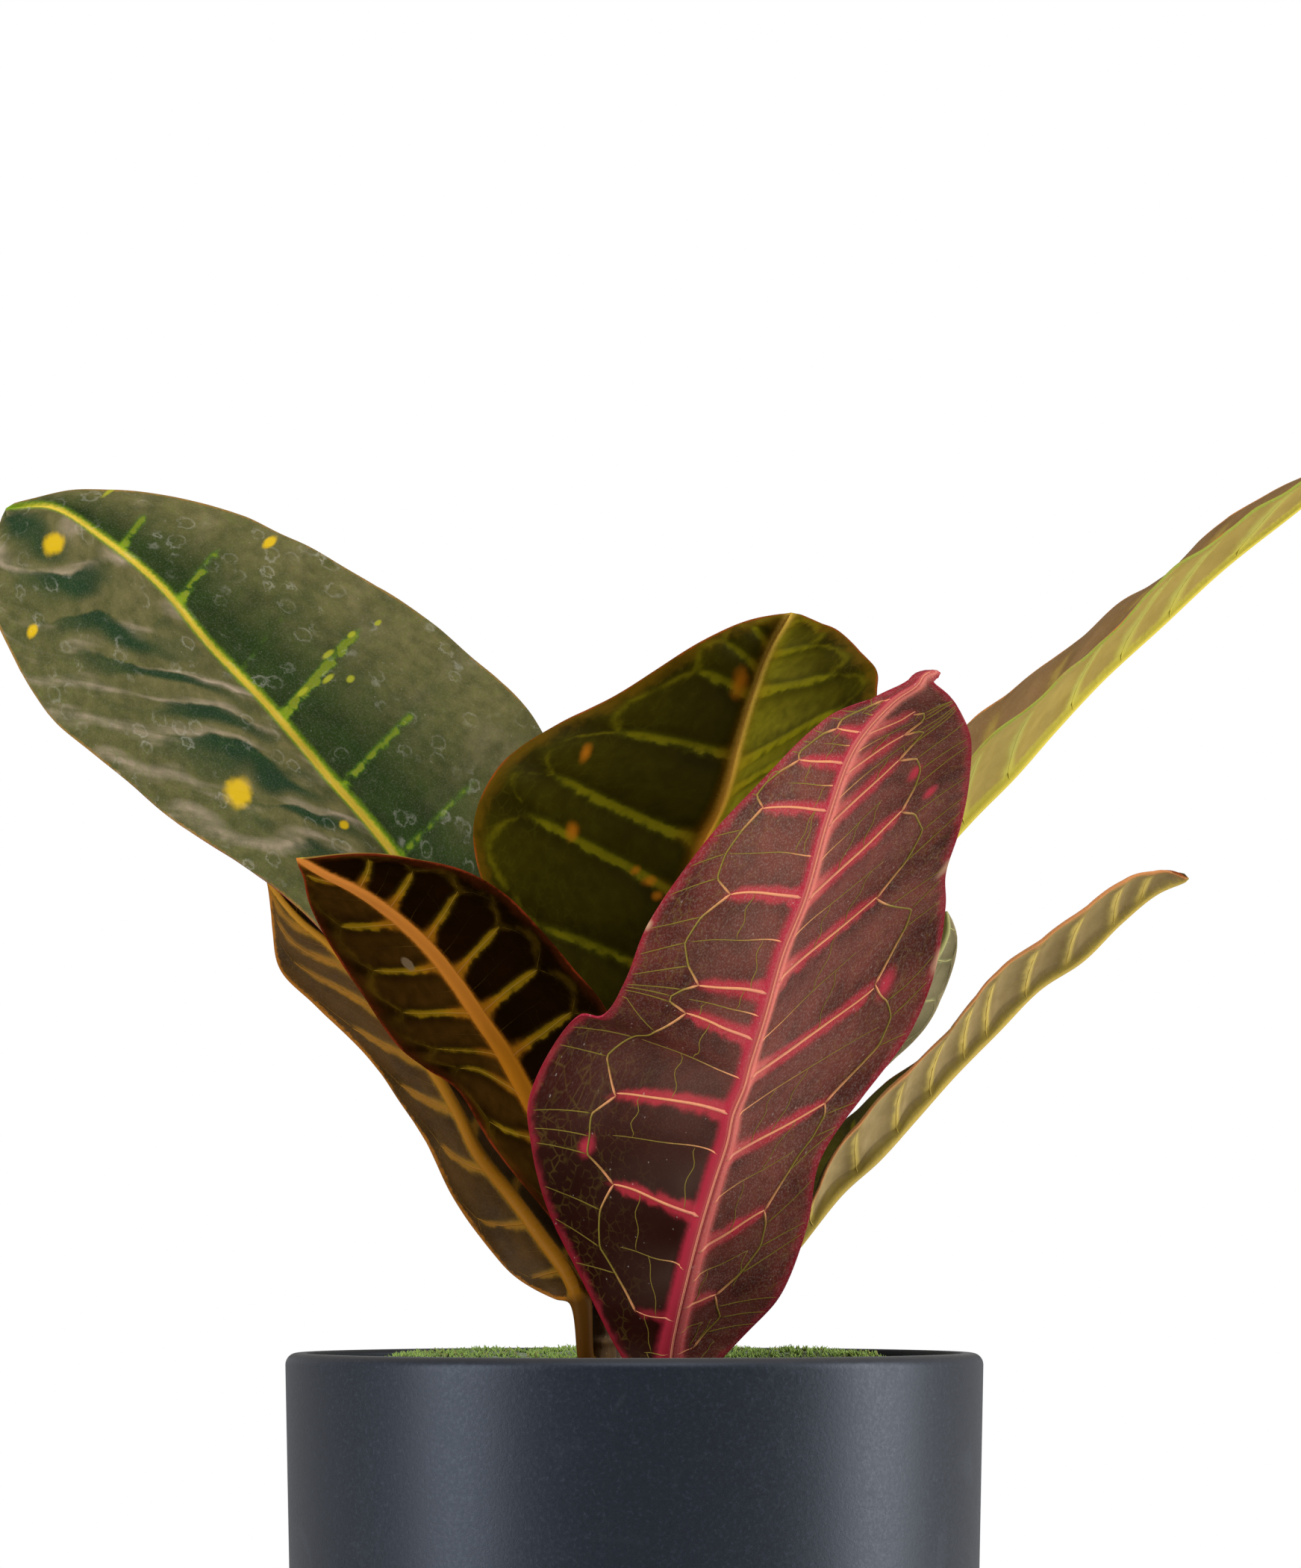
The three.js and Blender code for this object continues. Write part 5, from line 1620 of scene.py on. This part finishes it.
# %% How each leaf differs from it
LOOKS = {
    "leaf_front_red": dict(
        slot="leaf_red", upper=MAROON_UPPER, under=MAROON_UNDER, keel=(2.1, 0.4), rib=0.0, border=2.7,
        soft=2.0, bloom=(1.8, 1.2), flare=0.9, glow=0.85, core=0.0, cord=1.3, loops=1.2, thread=True,
        hem=1.2, margin=0.55, veil=(0.38, 0.4), edge_painted_sheen=(0.26, 0.4), shaded_base=(0.2, 0.65), net=0.22,
        dust=0.12, spot_soft=1.5, gloss=0.12,
    ),
    "leaf_left_green": dict(
        slot="leaf_green", upper=GREEN_UPPER, under=DUSKY_UNDER, quilt=(0.95, 0.4), rib=1.3, rib_soft=1.0,
        rib_ends=0.985, border=2.1, soft=1.7, bloom=(1.0, 0.9), flare=0.3, glow=0.7, core=0.4, broken=0.75,
        contrast=3, sunk_painted_sheen=0.85, pockets=0.95, margin=0.4, veil=(1.0, 0.1),
        edge_painted_sheen=(0.7, 0.9), dust=0.05, rings=0.2, spot_soft=0.7, gloss=0.0, roughness=0.44,
    ),
    "leaf_back_olive": dict(
        slot="leaf_olive", upper=OLIVE_UPPER, under=DUSKY_UNDER, rib=2.0, rib_soft=2.4, border=3.6,
        soft=3.4, bloom=(1.7, 1.3), flare=0.9, glow=0.7, core=0.5, broken=0.25, arcs=0.3, hem=1.8,
        margin=0.3, veil=(0.12, 0.9), edge_painted_sheen=(0.15, 0.15), dust=0.0, spot_soft=1.7, gloss=0.03,
        roughness=0.40,
    ),
    "leaf_left_dark": dict(
        slot="leaf_dark", upper=GREEN_UPPER, under=DARK_UNDER, keel=(2.1, 0.5), rib=2.0, rib_soft=1.1,
        border=2.7, soft=1.4, root=0.7, bloom=(1.5, 1.0), flare=2.0, core=0.8, arcs=0.14, cord=0.5,
        loops=0.2, hem=1.3, margin=0.35, veil=(0.6, 0.02), edge_painted_sheen=(0.6, 0.02), net=0.08, dust=0.0,
        gloss=0.0,
    ),
    "leaf_left_low": dict(
        slot="leaf_brown", upper=GREEN_UPPER, under=BROWN_UNDER, rib=1.3, rib_soft=0.8, border=2.1,
        root=0.7, bloom=(1.5, 1.0), flare=1.4, core=0.8, loops=0.3, veil=(0.2, 0.2), dust=0.02,
        gloss=0.07, roughness=0.46,
    ),
    "leaf_right_long": dict(
        slot="leaf_yellow", upper=BRONZE_UPPER, under=KHAKI_UNDER, rib=1.0, rib_soft=1.0, border=2.2,
        bloom=(1.8, 1.6), flare=0.3, glow=0.75, core=0.45, cord=0.4, loops=0.25, margin=0.5,
        tip_shade=0.25, roughness=0.44,
    ),
    "leaf_right_low": dict(
        slot="leaf_ochre", upper=OLIVE_UPPER, under=OCHRE_UNDER, quilt=(0.6, 1.0), quilt_from=1.2, rib=0.5,
        border=1.3, root=0.6, bloom=(1.2, 1.1), core=0.75, cord=0.5, loops=0.25, hem=0.9, veil=(0.6, 0.6),
        edge_painted_sheen=(0.6, 0.6), margin=0.5, tip_shade=0.42, roughness=0.44,
    ),
    "leaf_right_small": dict(slot="leaf_grey", upper=GREEN_UPPER, under=GREY_UNDER, roughness=0.45),
    "leaf_rear_left": dict(slot="leaf_green", upper=GREEN_UPPER, under=DUSKY_UNDER, gloss=0.0),
    "leaf_rear_right": dict(
        slot="leaf_olive", upper=OLIVE_UPPER, under=MAROON_UNDER, thread=True, rib=0.4, gloss=0.0
    ),
}
print({name: look["slot"] for name, look in LOOKS.items()})

# %% Spots of the leaves
# Places where green is missing or the skin is scarred, in mm: across, along, half width and half length
YELLOW_SPOT = "#c4a012"
LIME_SPOT = "#8c8c24"
ORANGE_SPOT = "#94560c"
RED_BLOTCH = "#a8283c"
DRY_SCAR = "#a8866a"
GREY_SCAR = "#5c4c38"
SPOTS = {
    "leaf_left_green": [
        (-18.6, 112.5, 2.7, 3.1, YELLOW_SPOT), (-7.9, 172.9, 2.6, 1.8, YELLOW_SPOT),
        (-25.1, 167.1, 1.3, 1.0, YELLOW_SPOT), (21.4, 142.9, 1.7, 1.1, YELLOW_SPOT),
        (-5.7, 91.8, 1.1, 1.0, YELLOW_SPOT), (12.1, 115.7, 1.2, 0.6, LIME_SPOT),
        (15.2, 112.9, 0.9, 0.7, LIME_SPOT), (15.3, 119.5, 1.4, 0.6, LIME_SPOT),
        (21.1, 119.9, 0.9, 0.5, LIME_SPOT), (6.8, 116.9, 1.3, 0.5, LIME_SPOT),
        (26.3, 118.7, 0.8, 0.5, LIME_SPOT), (9.0, 172.4, 2.4, 0.5, LIME_SPOT),
    ],
    "leaf_back_olive": [
        (-4.1, 101.9, 1.5, 2.2, ORANGE_SPOT), (-25.7, 68.3, 1.0, 1.4, ORANGE_SPOT),
        (-29.1, 80.6, 0.8, 1.2, ORANGE_SPOT), (-8.4, 61.0, 1.2, 0.9, ORANGE_SPOT),
        (-5.9, 58.4, 0.9, 0.8, ORANGE_SPOT), (-11.9, 62.7, 0.8, 0.8, ORANGE_SPOT),
    ],
    "leaf_front_red": [
        (-25.3, 61.1, 1.2, 2.0, RED_BLOTCH), (26.9, 85.4, 1.3, 2.0, RED_BLOTCH),
        (14.7, 136.2, 0.9, 1.8, RED_BLOTCH), (19.5, 129.2, 0.9, 1.4, RED_BLOTCH),
        (7.7, 50.0, 1.0, 1.2, RED_BLOTCH), (28.8, 107.1, 0.8, 1.8, DRY_SCAR),
        (35.3, 85.7, 0.8, 1.6, DRY_SCAR), (-26.0, 104.7, 0.6, 0.9, DRY_SCAR),
    ],
    "leaf_left_dark": [(-5.6, 76.7, 0.9, 1.5, GREY_SCAR)],
}
print({name: len(spots) for name, spots in SPOTS.items()}, "spots")

# %% [markdown]
# ### The skin of a leaf
#
# The leaf's mesh carries its fields in millimetres, so the nodes can draw a vein of a real width at a real
# distance. A leaf is painted as a painter would: the mottled panels with painted shade at a shaded base,
# their painted sheen, the fine net, the shine round each vein and the vein, the strips beside the midrib,
# the margin, the midrib, then spots and dust.
# Each is a colour and a mask. Every function below works out a few masks and keeps them with the fields.

# %% What the nodes of a leaf read
LEAF_FIELDS = {
    "place": ("across", "along", "to_margin"),
    "veins": ("phase", "spacing", "share"),
    "vigour": ("bloom_half", "side", "blade_share"),
    "arcs": ("strength", "past_arc"),
}
# The noises that break the drawing up: size of a patch in mm, octaves and roughness
LEAF_NOISES = {
    "broad": (7.692, 4, 0.6),
    "patchy": (2.857, 3, 0.5),
    "fine": (0.909, 3, 0.5),
    "grain": (0.3846, 3, 0.7),
}
VEIN_WANDER = 0.06


def leaf_sockets(tree, look):
    """A leaf's fields, noises, sides, halves and colours, each as a socket by name.

    The distance from a vein is the phase's distance from a whole number, in parts of the veins' spacing.
    """
    leaf = SimpleNamespace()
    for field, parts in LEAF_FIELDS.items():
        vector = add(tree, ATTRIBUTE, attribute_name="leaf_" + field, output="Vector")
        setattr(leaf, field, vector)
        for part, socket in zip(parts, add(tree, SPLIT, {0: vector}, None).outputs):
            setattr(leaf, part, socket)
    for noise, (size, octaves, roughness) in LEAF_NOISES.items():
        inputs = {"Vector": leaf.place, "Scale": 1 / size, "Detail": octaves, "Roughness": roughness}
        setattr(leaf, noise, add(tree, NOISE, inputs))
    leaf.is_upper = add(tree, RANGE, {0: leaf.side, 1: -0.1, 2: 0.1})
    leaf.is_right = add(tree, RANGE, {0: leaf.across, 1: -0.2, 2: 0.2})
    leaf.hue = {}
    for key in COLOUR_KEYS:
        under, upper = paint(look["under"][key]), paint(look["upper"][key])
        leaf.hue[key] = coats(tree, under, [(upper, leaf.is_upper)])
    wander = add(tree, RANGE, {0: leaf.patchy, 3: -VEIN_WANDER, 4: VEIN_WANDER})
    leaf.wandered = add(tree, MATH, {0: leaf.phase, 1: wander}, operation="ADD")
    leaf.from_vein = add(tree, MATH, {0: leaf.wandered, 1: 0.5}, operation="PINGPONG")
    return leaf


def by_half(tree, leaf, amounts):
    """The first amount on the left half of a leaf, and the second on its right half."""
    return add(tree, MIX, {0: leaf.is_right, 2: amounts[0], 3: amounts[1]})


# %% [markdown]
# A vein's colour is strongest on the vein and seeps into the blade on both sides. A bell curve over the
# distance gives that in one go: its middle is the drawn vein, and its foot the shine round it.

# %% Side veins, loops and net
NET_CELL = 2.0
LEAST_BLOOM = 0.05
LOOP_SHARPNESS = 1.6
LOOP_WANDER = 1.4


def draw_veins(tree, leaf, look):
    """Glow and core: two steps over the bell of distance / half width, times the vein's strength."""
    whole = add(tree, RANGE, {0: leaf.patchy, 1: 0.38, 2: 0.6, 3: 1 - look["broken"], 4: 1.0})
    ragged = {0: leaf.fine, 1: look["ragged"], 2: 1 - look["ragged"] / 2}
    ragged = add(tree, MATH, ragged, operation="MULTIPLY_ADD")
    half = product(tree, leaf.bloom_half, ragged)
    half = add(tree, MATH, {0: half, 1: LEAST_BLOOM}, operation="MAXIMUM")
    distance = product(tree, leaf.from_vein, leaf.spacing)
    reach = add(tree, MATH, {0: distance, 1: half}, operation="DIVIDE")
    shine = product(tree, bell(tree, reach, 1.0), whole, leaf.strength)
    leaf.glow = add(tree, RANGE, {0: shine, 1: 0.06, 2: 0.75, 4: look["glow"]}, **SMOOTH)
    leaf.core = add(tree, RANGE, {0: shine, 1: 0.4, 2: 0.9, 4: look["core"]}, **SMOOTH)


def draw_loops(tree, leaf, look):
    """Loops that join the forks: a bell over the distance from each arc in mm, broken here and there."""
    bent = add(tree, RANGE, {0: leaf.patchy, 3: -LOOP_WANDER, 4: LOOP_WANDER})
    off_arc = add(tree, MATH, {0: leaf.past_arc, 1: bent}, operation="ADD")
    whole = add(tree, RANGE, {0: leaf.broad, 1: 0.36, 2: 0.56})
    leaf.loops = product(tree, bell(tree, off_arc, LOOP_SHARPNESS), look["arcs"], whole)


def draw_net(tree, leaf, look):
    """The finest veins: the borders between cells of NET_CELL mm, clearest far from the midrib."""
    cells = {"Vector": leaf.place, "Scale": 1 / NET_CELL}
    to_border = add(tree, VORONOI, cells, "Distance", feature="DISTANCE_TO_EDGE")
    drawn = add(tree, RANGE, {0: to_border, 1: 0.1, 2: 0.02})
    outer = add(tree, RANGE, {0: leaf.share, 1: 0.25, 2: 0.9, 4: look["net"]})
    whole = add(tree, RANGE, {0: leaf.patchy, 1: 0.4, 2: 0.6})
    leaf.net = product(tree, drawn, outer, whole)


# %% [markdown]
# The midrib narrows towards the tip, between strips of another colour. The blade's edge has a narrow, hard
# margin, and inside it a broader hem on some leaves. All are lines, of the distance to midrib or margin.

# %% Midrib, margin and hem
RIB_RAGGED = 0.35
TIP_WIDTH = 0.25
ROOT_WIDTH = 2.6


def draw_rib(tree, leaf, look):
    """The midrib, the strips beside it, and the shine of the veins' roots, all narrower at the tip."""
    distance = add(tree, MATH, {0: leaf.across}, operation="ABSOLUTE")
    uneven = add(tree, RANGE, {0: leaf.fine, 3: -RIB_RAGGED, 4: RIB_RAGGED})
    ragged = add(tree, MATH, {0: distance, 1: uneven}, operation="ADD")
    taper = add(tree, RANGE, {0: leaf.blade_share, 3: 1.0, 4: TIP_WIDTH})
    leaf.rib = line(tree, ragged, product(tree, taper, look["rib"]), look["rib_soft"])
    leaf.border = line(tree, ragged, product(tree, taper, look["border"]), look["soft"])
    root = line(tree, distance, product(tree, taper, ROOT_WIDTH * look["border"]), 3.0)
    leaf.root = product(tree, root, leaf.glow, look["root"])


def draw_edges(tree, leaf, look):
    """Margin and hem: lines along the edge, 0.4 to 1.3 times as wide as the look says."""
    margin, hem = look["margin"], look["hem"]
    width = add(tree, RANGE, {0: leaf.fine, 1: 0.3, 2: 0.7, 3: 0.6 * margin, 4: 1.3 * margin})
    leaf.margin = line(tree, leaf.to_margin, width, 0.5)
    width = add(tree, RANGE, {0: leaf.patchy, 1: 0.3, 2: 0.7, 3: 0.4 * hem, 4: 1.3 * hem})
    leaf.hem = line(tree, leaf.to_margin, width, 1.6 * hem + 0.01)


# %% [markdown]
# Panels are painted paler than their sunk edges, as painted sheen, partly wax bloom. Painted shade keeps
# dark the base of a leaf that lies in the shade of others. Fine dust is a film of grain, with single specks
# on top.

# %% Painted sheen, painted shade and dust
SPECK_CELL = 1.6667
SPECK_MOST = 0.12


def draw_wax(tree, leaf, look):
    """Painted sheen: panels less their sunk edges, times the amounts at midrib and margin, none in painted
    shade.
    """
    shade_ends, light_begins = look["shaded_base"]
    lit = add(tree, RANGE, {0: leaf.blade_share, 1: shade_ends, 2: light_begins})
    leaf.lit = add(tree, MATH, {0: lit, 1: leaf.is_right}, operation="MAXIMUM")
    sunk = {0: leaf.from_vein, 1: 0.02, 2: 0.35, 3: look["sunk_painted_sheen"]}
    panel = add(tree, RANGE, sunk, **SMOOTH)
    outwards = add(tree, RANGE, {0: leaf.share, 1: 0.2, 2: 0.8})
    at_rib, at_edge = (by_half(tree, leaf, look[key]) for key in ("veil", "edge_painted_sheen"))
    amount = add(tree, MIX, {0: outwards, 2: at_rib, 3: at_edge})
    sheen_patches = add(tree, RANGE, {0: leaf.patchy, 1: 0.3, 2: 0.7, 3: 0.55, 4: 1.0})
    leaf.veil = product(tree, panel, amount, sheen_patches, leaf.lit)


def draw_dust(tree, leaf, look):
    """A film of grain, and dots in half of the cells of SPECK_CELL mm, each of a random size."""
    film = add(tree, RANGE, {0: leaf.grain, 1: 0.48, 2: 0.72, 4: look["dust"]})
    # No dust film in the painted shade of the left half's base
    leaf.film = product(tree, film, leaf.lit)
    specks = add(tree, VORONOI, {"Vector": leaf.place, "Scale": 1 / SPECK_CELL}, None)
    chosen = add(tree, SPLIT, {0: specks.outputs["Color"]})
    size = add(tree, RANGE, {0: chosen, 1: 0.5, 2: 1.0, 3: 0.0, 4: SPECK_MOST})
    dots = line(tree, specks.outputs["Distance"], size, 0.04)
    leaf.speck = product(tree, dots, min(1.6 * look["dust"], 0.6))


# %% [markdown]
# On the large green leaf, a long pocket above each vein is painted dark and faintly teal, as painted shade
# with a painted reflection, and the ridge between two pockets has pale streaks of dried dust and painted
# highlight. Both are drawn out along the veins, so their noise reads the phase and the share across. Drops
# dry to pale rings: lines at a ragged distance from the middles of scattered cells.

# %% Pockets of painted shade, ridge streaks of dust and painted highlight, and rings
BOW_PATCH = 16.667
BOW = 0.35
DROP_CELL = 5.0
DROP_JOLT = 2.0


def draw_pockets(tree, leaf, look):
    """Pockets of painted shade open and close with the share of the way between two veins, bowed by slow
    noise.
    """
    slow = add(tree, NOISE, {"Vector": leaf.place, "Scale": 1 / BOW_PATCH, "Detail": 1})
    bow = add(tree, RANGE, {0: slow, 1: 0.3, 2: 0.7, 3: -BOW, 4: BOW})
    leaf.bowed = add(tree, MATH, {0: leaf.wandered, 1: bow}, operation="ADD")
    turn = add(tree, MATH, {0: leaf.bowed}, operation="FRACT")
    opens = add(tree, RANGE, {0: turn, 1: 0.2, 2: 0.62}, **SMOOTH)
    closes = add(tree, RANGE, {0: turn, 1: 1.0, 2: 0.86}, **SMOOTH)
    inner = add(tree, RANGE, {0: leaf.share, 1: 0.06, 2: 0.3})
    outer = add(tree, RANGE, {0: leaf.share, 1: 0.78, 2: 0.45})
    drawn_out = add(tree, JOIN, {0: product(tree, leaf.phase, 0.8), 1: product(tree, leaf.share, 2.0)})
    shaded_patch = add(tree, NOISE, {"Vector": drawn_out, "Scale": 1.3, "Detail": 1})
    shaded_patch = add(tree, RANGE, {0: shaded_patch, 1: 0.34, 2: 0.5}, **SMOOTH)
    inside = product(tree, inner, outer, shaded_patch)
    leaf.pocket = product(tree, opens, closes, inside, by_half(tree, leaf, (look["pockets"], 0.0)))
    unshaded_patch = add(tree, MATH, {0: 1.0, 1: leaf.pocket}, operation="SUBTRACT")
    leaf.veil = product(tree, leaf.veil, unshaded_patch)


def draw_streaks(tree, leaf):
    """Streaks of dried dust and painted highlight on the ridge between two pockets, where painted sheen is
    left.
    """
    from_ridge = add(tree, MATH, {0: leaf.bowed, 1: 0.5}, operation="PINGPONG")
    on_ridge = add(tree, RANGE, {0: from_ridge, 1: 0.3, 2: 0.0})
    drawn_out = add(tree, JOIN, {0: product(tree, leaf.phase, 2.4), 1: product(tree, leaf.share, 2.0)})
    streak = add(tree, NOISE, {"Vector": drawn_out, "Scale": 1.0, "Detail": 3, "Distortion": 0.3})
    streak = add(tree, RANGE, {0: streak, 1: 0.42, 2: 0.66}, **SMOOTH)
    left = product(tree, leaf.veil, by_half(tree, leaf, (0.9, 0.12)))
    leaf.streak = product(tree, streak, on_ridge, left)


def drop_rings(tree, leaf, look):
    """A line at a ragged distance from the middles of cells that noise has jolted out of their rows."""
    jolt = {0: leaf.fine.node.outputs["Color"], 1: (DROP_JOLT, DROP_JOLT, 0.0), 2: leaf.place}
    jolted = add(tree, "ShaderNodeVectorMath", jolt, "Vector", operation="MULTIPLY_ADD")
    cells = {"Vector": jolted, "Scale": 1 / DROP_CELL, "Randomness": 1.0}
    from_middle = add(tree, VORONOI, cells, "Distance")
    radius = add(tree, MATH, {0: leaf.fine, 1: 0.22, 2: 0.2}, operation="MULTIPLY_ADD")
    off_ring = add(tree, MATH, {0: from_middle, 1: radius}, operation="SUBTRACT")
    off_ring = add(tree, MATH, {0: off_ring}, operation="ABSOLUTE")
    patches = add(tree, RANGE, {0: leaf.broad, 1: 0.45, 2: 0.65})
    return product(tree, line(tree, off_ring, 0.03, 0.12), patches, look["rings"])


# %% [markdown]
# A spot, where green is missing or the skin is scarred, is an ellipse: the offset from its middle is divided
# by its half sizes, and the length of what comes out is 1 on the rim.

# %% Spots and stalk
SPOT_STRENGTH = 0.75


def spot_layers(tree, leaf, name, look):
    """A colour and a mask for each spot of the leaf, with a ragged, soft rim."""
    layers = []
    for across, along, half_across, half_along, colour in SPOTS.get(name, []):
        u = add(tree, MATH, {0: leaf.across, 1: across}, operation="SUBTRACT")
        v = add(tree, MATH, {0: leaf.along, 1: along}, operation="SUBTRACT")
        offset = {0: product(tree, u, 1 / half_across), 1: product(tree, v, 1 / half_along)}
        offset = add(tree, JOIN, offset)
        length = add(tree, "ShaderNodeVectorMath", {0: offset}, "Value", operation="LENGTH")
        ragged = add(tree, MATH, {0: leaf.patchy, 1: 0.8, 2: 0.55}, operation="MULTIPLY_ADD")
        spot = line(tree, length, ragged, look["spot_soft"])
        layers.append((paint(colour), product(tree, spot, SPOT_STRENGTH)))
    return layers


# %% Layers in the order of painting
DUST = "#c9c4b8"
# Pale streaks of dried dust with painted highlight on the ridges, then the pockets' painted shade, tinted
# teal as a painted reflection
DUST_AND_HIGHLIGHT = "#9c8a78"
POCKET_SHADE = "#1c3020"
STALK_SKIN = "#442808"


def panel_layers(tree, leaf, look):
    """The mottled base, and over it the painted sheen, the darker tip, and the pockets' painted shade and
    streaks.
    """
    mottle = add(tree, RANGE, {0: leaf.broad, 1: 0.35, 2: 0.65, 3: 0.2, 4: 1.0})
    # Painted shade: where lit is 0, the left half's base takes the shade colour alone
    mottle = product(tree, mottle, leaf.lit)
    base = coats(tree, leaf.hue["shade"], [(leaf.hue["light"], mottle)])
    layers = [(leaf.hue["veil"], leaf.veil)]
    if look["tip_shade"]:
        shaded = add(tree, RANGE, {0: leaf.blade_share, 1: 0.3, 2: 0.75, 4: look["tip_shade"]})
        layers.append((leaf.hue["shade"], shaded))
    if look["pockets"]:
        layers += [(paint(POCKET_SHADE), product(tree, leaf.pocket, 0.6)), (paint(DUST_AND_HIGHLIGHT), leaf.streak)]
    return base, layers


def vein_layers(tree, leaf, look):
    """Net, hem, loops, glow and veins, then the strips beside the midrib, its lit side painted lighter, the
    margin and the midrib.
    """
    hue = leaf.hue
    away = add(tree, RANGE, {0: leaf.share, 1: 0.05, 2: 0.4})
    vein_hue = coats(tree, hue["root"], [(hue["vein"], away)])
    # The right strip beside the midrib is painted lighter towards the tip, as the midrib's lit side, and the
    # left stays darker as its shaded side
    paler = add(tree, RANGE, {0: leaf.blade_share, 1: 0.02, 2: 0.45, 3: 0.3})
    paler = product(tree, leaf.is_right, paler)
    beside = coats(tree, hue["border"], [(hue["band"], paler)])
    layers = [
        (hue["net"], leaf.net),
        (hue["hem"], product(tree, leaf.hem, 0.85)),
        (hue["vein"], leaf.loops),
        (hue["glow"], leaf.glow),
        (vein_hue, leaf.core),
        (beside, leaf.root),
        (beside, product(tree, leaf.border, look["beside"])),
        (hue["margin"], product(tree, leaf.margin, 0.85)),
    ]
    if look["rib"]:
        to_tip = add(tree, RANGE, {0: leaf.blade_share, 1: 0.35, 2: 0.85})
        rib_hue = coats(tree, hue["rib"], [(hue["tip"], to_tip)])
        lasts = add(tree, RANGE, {0: leaf.blade_share, 1: look["rib_ends"], 2: look["rib_ends"] - 0.06})
        layers.append((rib_hue, product(tree, leaf.rib, lasts)))
    return layers


# %% [markdown]
# The skin's gloss is low and slightly warm, as wax is, and it is rougher under the painted sheen, which is
# partly wax bloom. The veins are pressed in a little on the upper side, and the net on both.

# %% Waxy leaf skin
WAX_SHEEN = "#ffe6c8"
SKIN_IOR = 1.45
SKIN_RELIEF = 0.04


def leaf_skin(name, look):
    """A leaf's material: its layers as colour, more roughness under its painted sheen, and veins and grain
    as relief.
    """
    gloss = {"Specular_IOR_Level": look["gloss"], "Specular_Tint": paint(WAX_SHEEN)}
    material, tree, shader = new_material(name + "_waxy_skin", look["roughness"], SKIN_IOR, **gloss)
    leaf = leaf_sockets(tree, look)
    for draw in (draw_veins, draw_loops, draw_net, draw_rib, draw_edges, draw_wax, draw_dust):
        draw(tree, leaf, look)
    if look["pockets"]:
        draw_pockets(tree, leaf, look)
        draw_streaks(tree, leaf)
    base, layers = panel_layers(tree, leaf, look)
    layers += vein_layers(tree, leaf, look)
    layers.append((paint(DUST), leaf.film))
    if look["rings"]:
        layers.append((paint(DUST), drop_rings(tree, leaf, look)))
    layers += spot_layers(tree, leaf, name, look)
    stalk = add(tree, RANGE, {0: leaf.blade_share, 1: 0.035, 2: 0.005, 4: 0.9})
    layers += [(paint(DUST), leaf.speck), (paint(STALK_SKIN), stalk)]
    skin = add(tree, RANGE, {0: leaf.broad, 3: look["roughness"] - 0.08, 4: look["roughness"] + 0.12})
    skin = add(tree, MIX, {0: product(tree, leaf.veil, 0.6), 2: skin, 3: 0.7})
    tree.links.new(skin, shader.inputs["Roughness"])
    sunk_veins = product(tree, leaf.core, leaf.is_upper)
    height = add(tree, MATH, {0: sunk_veins, 1: -0.8, 2: leaf.grain}, operation="MULTIPLY_ADD")
    height = add(tree, MATH, {0: leaf.net, 1: -0.5, 2: height}, operation="MULTIPLY_ADD")
    finish_skin(tree, shader, coats(tree, base, layers), height, 0.35, SKIN_RELIEF)
    return material


# %% The material of raised veins
CORD_UNEVEN = 1.111


def vein_skin(name, look):
    """A vein's colour at the midrib, then its own, then the net's, by the age that each point carries."""
    material, tree, shader = new_material(name + "_raised_veins", 0.5, 1.45, Specular_IOR_Level=0.12)
    place = add(tree, "ShaderNodeTexCoord", output="Object")
    uneven = add(tree, NOISE, {"Vector": place, "Scale": cells_of(CORD_UNEVEN), "Detail": 3})
    age = add(tree, ATTRIBUTE, attribute_name="age", output="Fac")
    shifted = add(tree, MATH, {0: uneven, 1: 0.3, 2: -0.15}, operation="MULTIPLY_ADD")
    age = add(tree, MATH, {0: age, 1: shifted}, operation="ADD")
    grown = add(tree, RANGE, {0: age, 1: 0.0, 2: 0.15})
    thin = add(tree, RANGE, {0: age, 1: 0.45, 2: 0.75})
    layers = [(paint(look["under"]["vein"]), grown), (paint(look["under"]["net"]), thin)]
    finish_skin(tree, shader, coats(tree, paint(look["under"]["rib"]), layers), uneven, 0.3, 0.1)
    return material


# %% Making every leaf
for seed, (name, leaf) in enumerate(LEAVES.items()):
    look = {**USUAL_LOOK, **LOOKS[name]}
    loops, fields, below = leaf_body(name, leaf, look, 10 * seed)
    lines = grid_lines(name, below, look)
    body = ring_mesh(name + "_blade", loops, fields)
    finish_piece(body, leaf_skin(name, look), look["slot"], name)
    cords = make_mesh(name + "_veins", *cord_mesh(below, lines))
    finish_piece(cords, vein_skin(name, look), look["slot"])
